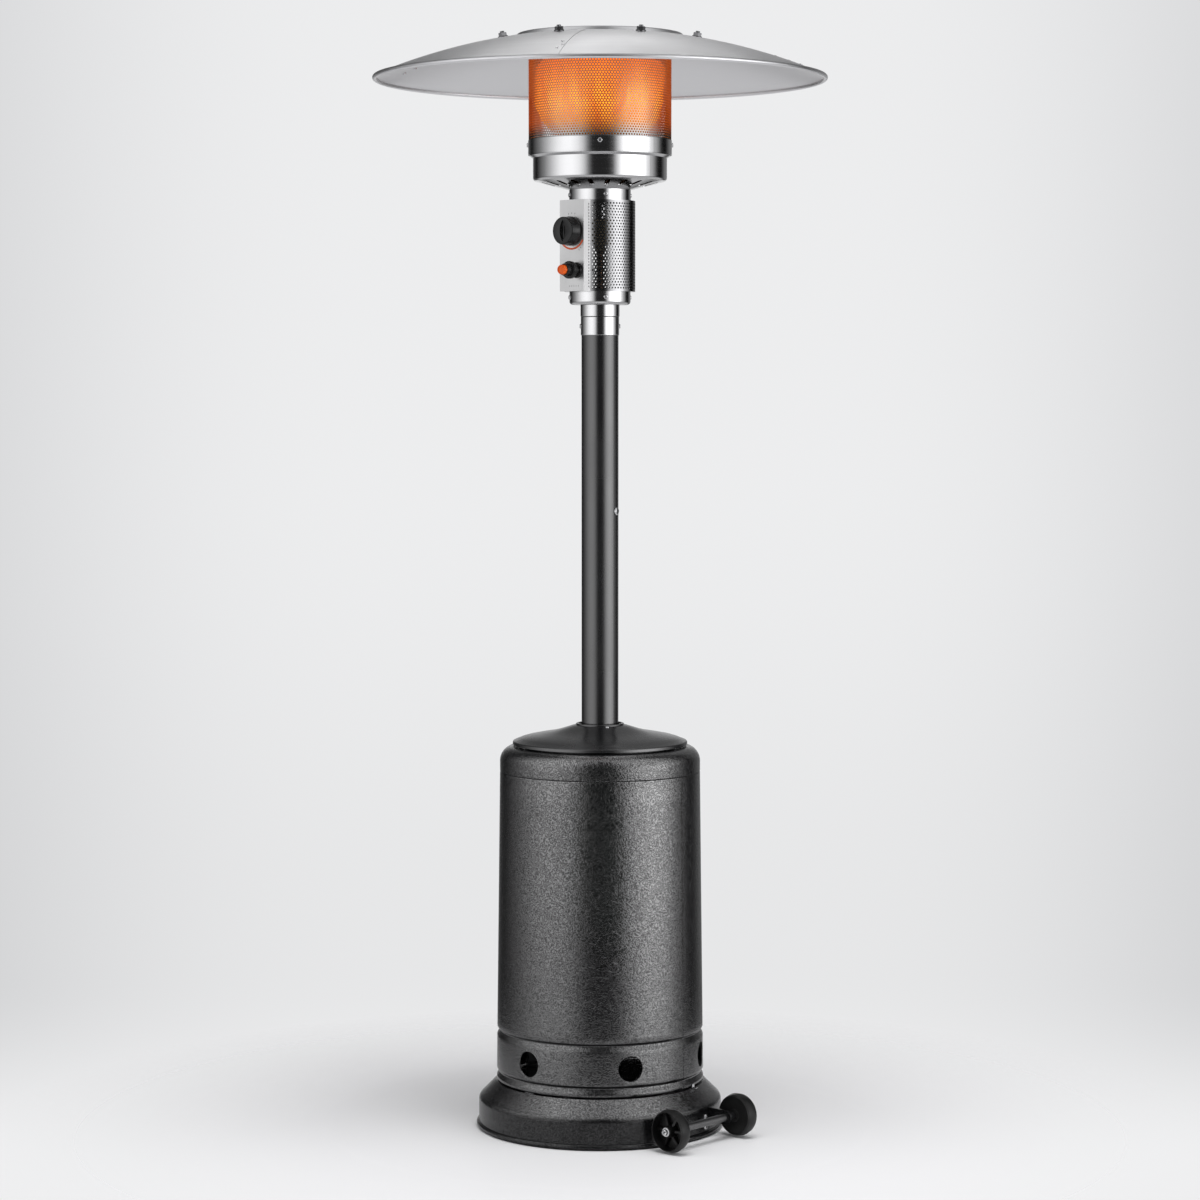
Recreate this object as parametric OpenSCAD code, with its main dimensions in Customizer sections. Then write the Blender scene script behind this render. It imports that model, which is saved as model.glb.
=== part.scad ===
// Mushroom patio heater: weighted base, tank housing, post, control head, burner and reflector.
// Origin on the floor under the post axis, +Z up, control panel facing -Y, wheels on +X.

/* [Base] */
// Height of the base deck above the floor
pan_h = 93.5; // [80:0.5:120]
// Outer radius of the upright skirt
skirt_r = 245; // [238:1:265]
// Radius of the flat deck
deck_r = 210.5; // [209.5:0.5:216]
// Height of the upright skirt up to its bend
skirt_h = 53.2; // [48:0.2:64]
// Radius of the bend between skirt and chamfer
pan_corner_r = 14; // [6:1:20]
// Thickness of the pan's sheet
pan_t = 1.5; // [1:0.1:3]
// Radius of the rolled bead at the floor
bead_r = 6; // [4:0.5:8]
// How far the bead stands out of the skirt
bead_out = 5; // [2:0.5:6]
// Width of the flat flange that the pan stands on
flange_w = 20; // [10:1:40]
// Thickness of the ballast plate under the deck
ballast_t = 8; // [4:1:12]
// Radius of the ballast plate
ballast_r = 200; // [195:1:204]

/* [Wheels] */
// Wheel radius
wheel_r = 42.5; // [36:0.5:46]
// Wheel width
wheel_w = 27; // [18:1:34]
// Distance from the post axis to the axle
axle_x = 282; // [278:1:300]
// Distance between the wheels' middle planes
wheel_track = 200; // [190:1:240]
// Gap between wheel and floor while the heater stands
wheel_lift = 2; // [1:0.5:8]
// Radius of the axle tube between the wheels
axle_r = 8; // [7:0.5:10]
// Radius of the spindle that a wheel turns on
spindle_r = 6; // [4.5:0.5:6.5]
// Thickness of the wheel rim
rim_t = 7.5; // [5:0.5:10]
// Radius of the wheel hub
hub_r = 13; // [10:0.5:16]
// Spokes in a wheel
spokes = 6; // [4:1:8]
// Half length of the bracket along the axle
bracket_half = 66; // [62:1:70]
// Thickness of the bracket plate
bracket_t = 3; // [2:0.5:4]

/* [Tank housing] */
// Height of the tapered shell
housing_h = 626; // [600:1:680]
// Shell radius at the bottom
housing_r0 = 209; // [207:0.5:210]
// Shell radius at the top
housing_r1 = 201.5; // [200:0.5:204]
// Thickness of the housing sheet
housing_t = 1.2; // [0.8:0.1:2]
// Height of the lower pressed groove above the shell's edge
groove_low = 19; // [14:0.5:30]
// Height of the upper pressed groove above the shell's edge
groove_high = 103; // [95:0.5:130]
// Depth of the pressed grooves
groove_d = 2.6; // [1:0.1:3]
// Half width of the pressed grooves
groove_half = 7; // [4:0.5:9]
// Place of a groove's deepest line, from 0 at mid width to 1 at its upper edge
groove_skew = 0.6; // [0:0.1:0.8]
// Vent hole radius
vent_r = 25; // [15:0.5:30]
// Vent holes round the shell
vents = 6; // [4:2:8]
// Height of the straight part of the shoulder
shoulder_h = 21; // [14:1:40]
// Radius of the rounded shoulder
shoulder_r = 30; // [22:1:36]
// Radius of the opening under the lid
mouth_r = 150; // [140:1:160]

/* [Lid] */
// Lid radius
lid_r = 175.6; // [172:0.5:180]
// Height of the lid's lip
lip_h = 10; // [6:0.5:16]
// Radius where the flat rim turns into the cone
cone_r = 128; // [110:1:138]
// Rise of the flat rim to the cone
rim_rise = 3; // [1:0.5:6]
// Rise of the cone
cone_rise = 29; // [20:1:40]
// Radius of the collar ring round the post
lid_ring_r = 48; // [46:0.5:54]
// Height of the collar ring
lid_ring_h = 3; // [2:0.5:6]
// Gap between lid and post, room for the post's screw head
lid_post_gap = 5.5; // [4.8:0.1:7]

/* [Post and frame] */
// Post radius
post_r = 37; // [34:0.5:39]
// Thickness of the post tube
post_t = 1.8; // [1.2:0.1:3]
// Length of the post tube
post_len = 973; // [900:1:1100]
// Height of the support legs above the deck
leg_h = 646; // [640:1:660]
// Width of the leg straps
leg_w = 30; // [24:1:36]
// Thickness of the leg straps
leg_t = 4; // [3:0.5:5]
// Radius of the legs' inner faces
leg_r = 188; // [180:1:190]
// Height of the upright part of a leg above the deck
leg_bend_h = 512; // [505:1:520]
// Height of the socket that holds the post
socket_h = 76; // [60:1:80]
// Thickness of the socket wall
socket_t = 4; // [3:0.5:6]
// Height of the side screw above the post's foot
post_screw_h = 576; // [520:1:640]
// Direction of the side screw, from the panel towards the wheels
post_screw_az = 104; // [90:1:120]
// Outer radius of the gas pipe
pipe_r = 6; // [5:0.5:8]
// Radius of the inlet fitting's thread
inlet_r = 7.94; // [7.5:0.01:9]
// Length of the inlet fitting's thread
inlet_len = 16; // [12:0.5:20]

/* [Control head] */
// Sleeve height that grips the post
collar_grip = 46; // [40:1:60]
// Height of the stainless collar
collar_h = 60; // [56:1:80]
// Thickness of the collar sheet
collar_t = 1.3; // [1:0.1:2]
// Height of the collar's groove above its edge
collar_groove_h = 36; // [30:1:44]
// Cup radius
cup_r = 61.1; // [56:0.1:64]
// Cup height
cup_h = 26; // [20:1:40]
// Radius of the cup's rounded bottom edge
cup_corner_r = 7; // [3:0.5:10]
// Thickness of the head's stainless sheet
head_t = 1.2; // [0.8:0.1:2]
// Radius of the perforated shroud
shroud_r = 70.5; // [67:0.5:76]
// Height of the shroud
shroud_h = 180; // [170:1:200]
// Panel width
panel_w = 65; // [62:1:72]
// Distance of the panel's face in front of the post axis
panel_y = 82; // [75:0.1:86]
// Thickness of the panel plate
panel_t = 1.5; // [1:0.1:3]
// Height of the neck ring
neck_h = 22; // [16:1:40]
// Radius of the neck ring
neck_r = 61.5; // [56:0.1:64]

/* [Knob and igniter] */
// Height of the knob axis above the shroud's bottom edge
knob_h = 118; // [112:1:126]
// Knob base radius
knob_r = 29; // [26:0.5:31]
// Knob front radius
knob_face_r = 27.5; // [24:0.5:29]
// Distance of the knob's face from the panel
knob_reach = 27; // [26:0.5:34]
// How far the knob pushes in
knob_push = 4; // [2:0.5:5]
// Depth of the grip recess in the knob's face
grip_d = 7; // [4:0.5:8]
// Radius of the valve stem
stem_r = 4; // [3:0.5:5]
// Inner radius of the printed heat arc
arc_r = 33; // [32:0.5:36]
// Width of the printed heat arc
arc_w = 3.6; // [2:0.2:5]
// Height of the igniter axis above the shroud's bottom edge
igniter_h = 41; // [36:1:46]
// Igniter offset from the panel's middle
igniter_x = 13; // [8:0.5:14]
// Igniter barrel radius
barrel_r = 12; // [11.5:0.5:13]
// Igniter barrel length
barrel_len = 36; // [34:1:44]
// Radius of the igniter's large ring
igniter_ring_r = 17.2; // [15:0.1:18]
// Igniter button radius
button_r = 10; // [8:0.5:10.5]
// Distance of the button's face from the panel
button_reach = 45.5; // [45:0.5:56]
// How far the button pushes in
button_push = 7; // [4:0.5:8]

/* [Burner] */
// Radius of the burner bowl
bowl_r = 133.7; // [128:0.1:137]
// Rise of the bowl's sloping floor
bowl_floor_rise = 17.2; // [8:0.1:20]
// Radius where the floor meets the bend to the wall
bowl_floor_r = 127.5; // [119:0.5:130]
// Height of the bowl's upright wall
bowl_wall_h = 39; // [30:1:60]
// Height of the step from bowl to emitter band
bowl_step_h = 6; // [4:0.5:12]
// Air slots in the bowl floor
slots = 20; // [16:1:26]
// Angle of the first air slot from the panel
slot_turn = 15; // [0:1:18]
// Width of an air slot
slot_w = 10; // [6:0.5:10]
// Inner end of the air slots
slot_r0 = 86; // [74:1:90]
// Outer end of the air slots
slot_r1 = 117; // [108:1:120]
// Emitter band radius
band_r = 143.4; // [140:0.1:150]
// Emitter band height
band_h = 29; // [24:1:40]
// Height of the emitter screen
screen_h = 191; // [170:1:230]
// How far the screen sits down inside the band
screen_grip = 23; // [15:1:24]
// Radius of the main burner head
burner_r = 36; // [32:1:38]
// Radius of the burner feed tube
feed_r = 14; // [10:0.5:18]

/* [Reflector] */
// Reflector radius to the outside of its rolled rim
reflector_r = 452; // [430:1:480]
// Radius of the dome's curvature
dome_curve_r = 1150; // [1000:1:1300]
// Thickness of the reflector sheet
reflector_t = 1; // [0.8:0.1:1.5]
// Radius of the rolled rim
rim_bead_r = 4.5; // [3:0.5:6]
// Radius of the raised crown
crown_r = 165; // [150:1:172]
// Step from the dome up to the crown
crown_step = 6.6; // [3:0.1:9]
// Bolt circle radius of the reflector
bolt_ring_r = 206; // [203:0.5:208]
// Bolts round the reflector
reflector_bolts = 8; // [6:1:12]
// Height of the stand-offs above the emitter cap
standoff_h = 23.5; // [16:0.5:40]
// Radius of the carrier under the dome
carrier_r = 222; // [220:1:228]
// Thickness of the carrier sheet
carrier_t = 2; // [1.5:0.1:3]

/* [Fits] */
// Gap between pieces that move against each other
rest_gap = 0.3; // [0.2:0.05:0.6]
// Radial clearance of a turning or sliding shaft
run_gap = 0.05; // [0.02:0.01:0.1]
// Gap between sheets and fasteners that stay put
fit_gap = 0.1; // [0.05:0.01:0.3]

/* [Hidden] */
$fn = 96;
through = 1;
hex = 6;

// Base stack and leg layout
leg_azimuths = [30, 150, 270];
bend_r = skirt_r - pan_corner_r;
chamfer_h = pan_h - skirt_h;
chamfer_run = deck_r - bend_r;
chamfer_tilt = atan2(chamfer_h, chamfer_run) - acos(pan_corner_r / norm([chamfer_run, chamfer_h]));
ballast_z = pan_h - pan_t - ballast_t;
leg_top_z = pan_h + leg_h;
foot_len = 30;
foot_bolt_r = leg_r - foot_len / 2;
m8_r = 4;
bolt_head_r = 7.5;
bolt_head_h = 5.5;
nut_h = 6.5;
lug_w = 24;
lug_h = 14;
lug_t = 2;
lug_foot = 12;
lug_r = housing_r0 - housing_t - rest_gap - 2 * lug_t;

// Post, socket and gas line
socket_z = leg_top_z - socket_h;
socket_floor = 3;
socket_r = post_r + fit_gap + socket_t;
pad_wall = 2;
pad_r = socket_r + pad_wall;
pad_h = 44;
pad_inset = 4;
tab_bolt_z = leg_top_z - pad_inset - pad_h / 2;
post_z = socket_z + socket_floor;
post_top_z = post_z + post_len;
post_screw_z = post_z + post_screw_h;
screw_r = 3;
screw_head_r = 8;
screw_head_h = 3.4;
clip_h = 12;
clip_wall = 6;
clip_ring_r = pipe_r + clip_wall;
collar_z = post_top_z - collar_grip;
cup_z = collar_z + collar_h;
shroud_z = cup_z + cup_h;
shroud_top_z = shroud_z + shroud_h;
valve_h = 50;
valve_w = 44;
valve_front_y = 54;
valve_back_y = 16;
valve_boss_h = 6;
knob_z = shroud_z + knob_h;
valve_z = knob_z - valve_h / 2;
inlet_hex_r = 11;
inlet_hex_h = 12;
pipe_grip = 14;
pipe_t = 1;
inlet_drop = 2;
inlet_z = pan_h + leg_bend_h - inlet_drop;
pipe_z = inlet_z + inlet_len + inlet_hex_h;
pipe_nut_h = 12;

// Wheels
axle_z = wheel_lift + wheel_r;
wheel_y0 = wheel_track / 2 - wheel_w / 2;
wheel_y1 = wheel_track / 2 + wheel_w / 2;
shoulder_y = wheel_y0 - rest_gap;
spindle_end = wheel_y1 + rest_gap;
washer_r = 11;
washer_h = 2;
hex_head_r = 8;
hex_head_h = 6;
end_bolt_r = 3;
end_bolt_len = 20;
web_t = 6;
spoke_w = 6;
spoke_h = 16;
tread_round = 4;
ear_t = 4;
ear_r = 14;
bracket_inset = 2;
bracket_z0 = 2 * bead_r + bracket_inset;
bracket_z1 = skirt_h - bracket_inset;
bracket_r = skirt_r + fit_gap;
bracket_screw_az = 10.5;
bracket_screw_inset = 9;
bracket_screw_z = [bracket_z0 + bracket_screw_inset, bracket_z1 - bracket_screw_inset];
bracket_head_r = 6;
bracket_head_h = 3.5;
bracket_shank_r = 2.5;
bracket_nut_h = 4;

// Housing and lid
housing_z = pan_h + rest_gap;
housing_top_z = housing_z + housing_h;
vent_drop = 3;
vent_z = housing_z + (groove_low + groove_high) / 2 - vent_drop;
joggle_h = 12;
shoulder_bend_z = housing_top_z + shoulder_h;
shoulder_top_z = shoulder_bend_z + shoulder_r;
lid_z = shoulder_top_z + rest_gap;
lid_top_z = lid_z + lip_h;
lid_cone_z = lid_top_z + rim_rise;
lid_ring_z = lid_cone_z + cone_rise;
lid_t = 1.2;
lid_hole_r = post_r + lid_post_gap;
lid_guide_h = 8;
lid_edge_r = 3;

// Control head
head_screw_r = 2;
head_screw_head_r = 4.6;
head_screw_head_h = 2.4;
head_screw_len = 5;
collar_screw_z = collar_z + collar_groove_h / 2;
collar_screw_az = [-47, 133];
cup_screw_drop = 11;
cup_screw_z = shroud_z - cup_screw_drop;
neck_screw_rise = 11.5;
neck_screw_z = shroud_top_z + neck_screw_rise;
square_az = [-36, 54, 144, 234];
collar_r = post_r + fit_gap + collar_t;
collar_lip = 0.7;
pipe_hole_r = 34;
ledge_r = 52;
rod_r = 3;
rod_ring_r = 59;
rod_azimuths = [90, 180, 270];
window_margin = 9;
stem_clearance = 2;
stem_hole_r = stem_r + stem_clearance;
switch_w = 26;
switch_d = 16;
switch_h = 20;
switch_y = 36;

// Knob and igniter, measured along the panel's outward normal
knob_gap = knob_push + 2 * rest_gap;
knob_edge_r = 3;
knob_skirt_h = 4;
knob_floor = 2;
stem_reach = knob_reach - grip_d - knob_floor - knob_push - rest_gap - knob_gap;
stem_flat = 0.6 * stem_r;
stem_depth = 22;
lens_half_w = 7;
lens_half_l = 21;
lens_r = (lens_half_l * lens_half_l + lens_half_w * lens_half_w) / (2 * lens_half_w);
ridge_w = 2;
ridge_d = 3;
arc_t = 0.3;
arc_low = 18;
igniter_z = shroud_z + igniter_h;
flange_r = 15;
flange_h = 4;
igniter_ring_z = 15;
igniter_ring_h = 10;
igniter_ring_bevel = 2;
button_root = button_push + 2;
button_edge_r = 3;
thread_r = 8;
thread_hole_r = thread_r + fit_gap;
piezo_r = 11;
piezo_len = 34;
piezo_nut_r = 13;
piezo_nut_h = 5;

// Burner
neck_z = shroud_top_z;
bowl_z = neck_z + neck_h;
bowl_hole_r = 24;
bowl_floor_z = bowl_z + bowl_floor_rise;
bowl_corner = bowl_r - bowl_floor_r;
bowl_tilt = atan2(bowl_floor_rise, bowl_floor_r - neck_r) - 90;
bowl_wall_z = bowl_floor_z + bowl_corner;
bowl_step_z = bowl_wall_z + bowl_wall_h;
band_z = bowl_step_z + bowl_step_h;
band_top_z = band_z + band_h;
screen_r = band_r - head_t - fit_gap;
screen_t = 1;
screen_z = band_top_z - screen_grip;
screen_top_z = screen_z + screen_h;
bowl_lip_r = screen_r - screen_t - fit_gap;
band_screw_rise = 20.5;
band_screw_z = band_z + band_screw_rise;
band_screw_az = [-47, 43, 133, 223];
cap_t = 1.5;
cap_skirt_h = 14;
cap_z = screen_top_z;
feed_z = valve_z + valve_h;
feed_flange_r = 32;
feed_flange_h = 3;
feed_t = 1.5;
bowl_floor_top = bowl_z + head_t;
burner_z = band_z;
burner_h = 24;
burner_dish = 8;
ports = 16;
port_r = 3;
port_ring_r = 0.72 * burner_r;
probe_gap = 5;
probe_az = [150, 180, 210];
pilot_r = 3.5;
pilot_hood_r = 7;
pilot_hood_h = 16;
thermocouple_r = 2.5;
electrode_r = 4;
electrode_tip_r = 1.2;
probe_foot_r = 7;
probe_foot_h = 2;
probe_rise = 16;
probe_top_z = burner_z + burner_h + probe_rise;
probe_ring_r = burner_r + probe_gap + pilot_hood_r;
probe_hole_r = electrode_r + 6 * fit_gap;

// Reflector
standoff_r = 6;
standoff_ring_r = 90;
standoffs = 3;
carrier_z = cap_z + cap_t + standoff_h;
carrier_flat_r = 184;
carrier_bend_r = 191;
carrier_hole_r = 50;
carrier_clearance = 4;
apex_z = carrier_z + carrier_t + carrier_clearance + dome_drop(carrier_flat_r) + reflector_t + fit_gap;
crown_lift = 1;
crown_top_z = apex_z + crown_lift;
crown_z = dome_z(crown_r) + crown_step;
crown_slope = 3;
rim_join_r = reflector_r - 1.6 * rim_bead_r;
rim_bead_z = dome_z(rim_join_r) - 0.6 * rim_bead_r;
dome_steps = 18;
first_bolt_az = 20.5;
nut_r = 8.5;
nut_t = 7;
stud_r = 4;
stud_tip = 3;
nut_washer_r = 9.5;
nut_washer_h = 2;

function dome_drop(r) = dome_curve_r - sqrt(dome_curve_r * dome_curve_r - r * r);
function dome_z(r) = apex_z - dome_drop(r);
function arc(cx, cy, r, a0, a1, steps) =
    [for (i = [0 : steps]) let (a = a0 + (a1 - a0) * i / steps) [cx + r * cos(a), cy + r * sin(a)]];
function reversed(points) = [for (i = [len(points) - 1 : -1 : 0]) points[i]];
function lowered(points, dr, dz) = [for (p = points) [p[0] - dr, p[1] - dz]];
function housing_r(z) = housing_r0 + (housing_r1 - housing_r0) * (z - housing_z) / housing_h;
function groove_turn(u) = 180 * (u - groove_skew) / (u < groove_skew ? 1 + groove_skew : 1 - groove_skew);
function groove(z) =
    [for (u = [-1, (groove_skew - 1) / 2, groove_skew, (groove_skew + 1) / 2, 1])
        [housing_r(z) - groove_d * (cos(groove_turn(u)) + 1) / 2, z + u * groove_half]];

// Turns what is drawn on the panel's side to an azimuth counted from the panel towards the wheels
module at_az(az) {
    rotate([0, 0, az])
        children();
}

module ring(r_out, r_in, z, h) {
    translate([0, 0, z])
        difference() {
            cylinder(r = r_out, h = h);
            translate([0, 0, -through])
                cylinder(r = r_in, h = h + 2 * through);
        }
}

// Round bar pointing out of a cylinder at azimuth az, from radius r0 to r1
module radial_bar(az, z, r0, r1, r) {
    at_az(az)
        translate([0, -r0, z])
            rotate([90, 0, 0])
                cylinder(r = r, h = r1 - r0);
}

// Screw with a flat round head standing on radius r
module radial_screw(az, z, r, head_r, head_h, shank_r, shank_len) {
    radial_bar(az, z, r, r + head_h, head_r);
    radial_bar(az, z, r - shank_len, r, shank_r);
}

// Upright outline in radius and height, extruded sideways by w at azimuth az
module radial_plate(az, w) {
    at_az(az)
        rotate([90, 0, -90])
            linear_extrude(w, center = true)
                children();
}

// Places children on the panel's face: +Z of the children points out of the panel
module on_panel(x, z) {
    translate([x, -panel_y, z])
        rotate([90, 0, 0])
            children();
}

// Places children on the dome's outside at radius r, +Z along the dome's normal
module on_dome(az, r) {
    at_az(az)
        translate([0, 0, apex_z - dome_curve_r])
            rotate([asin(r / dome_curve_r), 0, 0])
                translate([0, 0, dome_curve_r])
                    children();
}

// Base

module bracket_screw_holes() {
    for (side = [-1, 1])
        for (z = bracket_screw_z)
            radial_bar(90 + side * bracket_screw_az, z, skirt_r - 4 * pan_t, skirt_r + 4 * bracket_t,
                bracket_shank_r + fit_gap);
}

module foot_bolt_holes(z0, z1) {
    for (az = leg_azimuths)
        at_az(az)
            translate([0, -foot_bolt_r, z0])
                cylinder(r = m8_r + fit_gap, h = z1 - z0);
}

module base_pan() {
    outer = concat(
        [[skirt_r - flange_w, 0], [skirt_r, 0]],
        arc(bend_r, skirt_h, pan_corner_r, 0, chamfer_tilt, 6),
        [[deck_r, pan_h], [0, pan_h]]);
    inner = concat(
        [[0, pan_h - pan_t], [deck_r - pan_t * tan(45 - chamfer_tilt / 2), pan_h - pan_t]],
        arc(bend_r, skirt_h, pan_corner_r - pan_t, chamfer_tilt, 0, 6),
        [[skirt_r - pan_t, pan_t], [skirt_r - flange_w, pan_t]]);
    color("#1c1c1d")
        difference() {
            union() {
                rotate_extrude()
                    polygon(concat(outer, inner));
                rotate_extrude()
                    translate([skirt_r + bead_out - bead_r, bead_r + rest_gap])
                        circle(r = bead_r);
            }
            bracket_screw_holes();
            foot_bolt_holes(pan_h - pan_t - through, pan_h + through);
        }
}

module ballast_plate() {
    color("#3a3a3c")
        difference() {
            translate([0, 0, ballast_z])
                cylinder(r = ballast_r, h = ballast_t);
            foot_bolt_holes(ballast_z - through, pan_h);
        }
}

// Small angle tabs on the deck that centre the housing's lower edge
module locating_lugs() {
    color("#c9cacb")
        for (az = [0, 120, 240])
            radial_plate(az, lug_w)
                polygon([
                    [lug_r - lug_foot, pan_h], [lug_r + lug_t, pan_h], [lug_r + lug_t, pan_h + lug_h],
                    [lug_r, pan_h + lug_h], [lug_r, pan_h + lug_t], [lug_r - lug_foot, pan_h + lug_t]]);
}

module support_leg(az) {
    bend_z0 = pan_h + leg_bend_h;
    bend_z1 = leg_top_z - pad_h - pad_inset;
    top_z = leg_top_z;
    color("#262627")
        difference() {
            radial_plate(az, leg_w)
                polygon([
                    [leg_r - foot_len, pan_h], [leg_r + leg_t, pan_h], [leg_r + leg_t, bend_z0],
                    [pad_r + leg_t, bend_z1], [pad_r + leg_t, top_z], [pad_r, top_z],
                    [pad_r, bend_z1 - leg_t / 2], [leg_r, bend_z0 - leg_t / 2], [leg_r, pan_h + leg_t],
                    [leg_r - foot_len, pan_h + leg_t]]);
            foot_bolt_holes(pan_h - through, pan_h + leg_t + through);
            radial_bar(az, tab_bolt_z, pad_r - leg_t, pad_r + 2 * leg_t, m8_r + fit_gap);
        }
}

module support_leg_1() {
    support_leg(leg_azimuths[0]);
}

module support_leg_2() {
    support_leg(leg_azimuths[1]);
}

module support_leg_3() {
    support_leg(leg_azimuths[2]);
}

module leg_bolts() {
    tab_len = leg_t + pad_r - post_r - fit_gap;
    color("#b9babc")
        for (az = leg_azimuths) {
            at_az(az)
                translate([0, -foot_bolt_r, 0]) {
                    translate([0, 0, pan_h + leg_t])
                        cylinder(r = bolt_head_r, h = bolt_head_h, $fn = hex);
                    translate([0, 0, ballast_z - nut_h])
                        cylinder(r = m8_r, h = pan_h + leg_t - ballast_z + nut_h);
                    translate([0, 0, ballast_z - nut_h])
                        cylinder(r = bolt_head_r, h = nut_h, $fn = hex);
                }
            radial_screw(az, tab_bolt_z, pad_r + leg_t, bolt_head_r, bolt_head_h, m8_r, tab_len);
        }
}

// Post, its socket and the gas line inside it

module post_socket() {
    color("#262627")
        difference() {
            union() {
                translate([0, 0, socket_z])
                    cylinder(r = socket_r, h = socket_h);
                for (az = leg_azimuths)
                    at_az(az)
                        translate([-leg_w / 2, -pad_r, leg_top_z - pad_inset - pad_h])
                            cube([leg_w, pad_r, pad_h]);
            }
            translate([0, 0, post_z])
                cylinder(r = post_r + fit_gap, h = socket_h + through);
            translate([0, 0, socket_z - through])
                cylinder(r = post_r - post_t - socket_floor, h = socket_h);
            for (az = leg_azimuths)
                radial_bar(az, tab_bolt_z, post_r - post_t, pad_r + leg_t, m8_r + fit_gap);
        }
}

module post() {
    color("#202021")
        difference() {
            ring(post_r, post_r - post_t, post_z, post_len);
            radial_bar(post_screw_az, post_screw_z, post_r - 4 * post_t, post_r + post_t, screw_r + fit_gap);
            for (az = collar_screw_az)
                radial_bar(az, collar_screw_z, post_r - 4 * post_t, post_r + post_t, head_screw_r + fit_gap);
        }
}

module post_screw() {
    color("#2c2c2e")
        radial_screw(post_screw_az, post_screw_z, post_r, screw_head_r, screw_head_h, screw_r,
            post_r - clip_ring_r);
}

// Spider in the post that steadies the gas pipe, held by the side screw
module pipe_clip() {
    hub_h = clip_h + 2 * screw_r;
    color("#8d8e90")
        difference() {
            union() {
                ring(clip_ring_r, pipe_r + fit_gap, post_screw_z - hub_h / 2, hub_h);
                ring(post_r - post_t - fit_gap, post_r - 3 * post_t, post_screw_z - clip_h / 2, clip_h);
                for (k = [0 : 2])
                    at_az(post_screw_az + 60 + 120 * k)
                        translate([-post_t / 2, -(post_r - 2.5 * post_t), post_screw_z - clip_h / 2])
                            cube([post_t, post_r - 2.5 * post_t - pipe_r - 2 * post_t, clip_h]);
            }
            radial_bar(post_screw_az, post_screw_z, clip_ring_r, post_r, screw_r + fit_gap);
        }
}

module gas_pipe() {
    color("#a9743a")
        ring(pipe_r, pipe_r - pipe_t, pipe_z - pipe_grip, valve_z - pipe_nut_h - pipe_z + pipe_grip);
}

module inlet_fitting() {
    color("#c29a4b")
        difference() {
            union() {
                translate([0, 0, inlet_z])
                    cylinder(r = inlet_r, h = inlet_len);
                translate([0, 0, inlet_z + inlet_len])
                    cylinder(r = inlet_hex_r, h = inlet_hex_h, $fn = hex);
            }
            translate([0, 0, pipe_z - pipe_grip])
                cylinder(r = pipe_r + run_gap, h = pipe_grip + through);
            translate([0, 0, inlet_z - through])
                cylinder(r = pipe_r - 2 * pipe_t, h = inlet_len + through);
        }
}

// Wheels

module wheel_bracket() {
    inset = bracket_half - ear_t;
    color("#1c1c1d")
        difference() {
            union() {
                intersection() {
                    ring(bracket_r + bracket_t, bracket_r, bracket_z0, bracket_z1 - bracket_z0);
                    translate([0, -bracket_half, bracket_z0])
                        cube([2 * bracket_r, 2 * bracket_half, bracket_z1 - bracket_z0]);
                }
                for (y = [-bracket_half, inset])
                    translate([skirt_r - bracket_half * bracket_half / skirt_r, y, axle_z - ear_r])
                        cube([axle_x - skirt_r + bracket_half * bracket_half / skirt_r, ear_t, 2 * ear_r]);
                for (y = [-bracket_half, inset])
                    translate([axle_x, y, axle_z])
                        rotate([-90, 0, 0])
                            cylinder(r = ear_r, h = ear_t);
            }
            translate([0, 0, -through])
                cylinder(r = bracket_r, h = pan_h + 2 * through);
            translate([axle_x, -bracket_half - through, axle_z])
                rotate([-90, 0, 0])
                    cylinder(r = axle_r + run_gap, h = 2 * (bracket_half + through));
            bracket_screw_holes();
        }
}

module bracket_screws() {
    color("#b9babc")
        for (side = [-1, 1])
            for (z = bracket_screw_z) {
                az = 90 + side * bracket_screw_az;
                radial_screw(az, z, bracket_r + bracket_t, bracket_head_r, bracket_head_h, bracket_shank_r,
                    bracket_t + pan_t + fit_gap + bracket_nut_h);
                radial_bar(az, z, skirt_r - pan_t - fit_gap - bracket_nut_h, skirt_r - pan_t - fit_gap,
                    bracket_head_r);
            }
}

module axle() {
    color("#1f1f20")
        translate([axle_x, 0, axle_z])
            rotate([-90, 0, 0])
                difference() {
                    union() {
                        cylinder(r = axle_r, h = 2 * shoulder_y, center = true);
                        cylinder(r = spindle_r, h = 2 * spindle_end, center = true);
                    }
                    for (side = [-1, 1])
                        translate([0, 0, side * spindle_end])
                            cylinder(r = end_bolt_r + fit_gap, h = 2 * end_bolt_len + fit_gap, center = true);
                }
}

module axle_bolts() {
    color("#c4c5c7")
        for (side = [-1, 1])
            translate([axle_x, side * spindle_end, axle_z])
                rotate([-90 * side, 0, 0]) {
                    translate([0, 0, -end_bolt_len])
                        cylinder(r = end_bolt_r, h = end_bolt_len);
                    cylinder(r = washer_r, h = washer_h);
                    translate([0, 0, washer_h])
                        cylinder(r = hex_head_r, h = hex_head_h, $fn = hex);
                }
}

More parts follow.
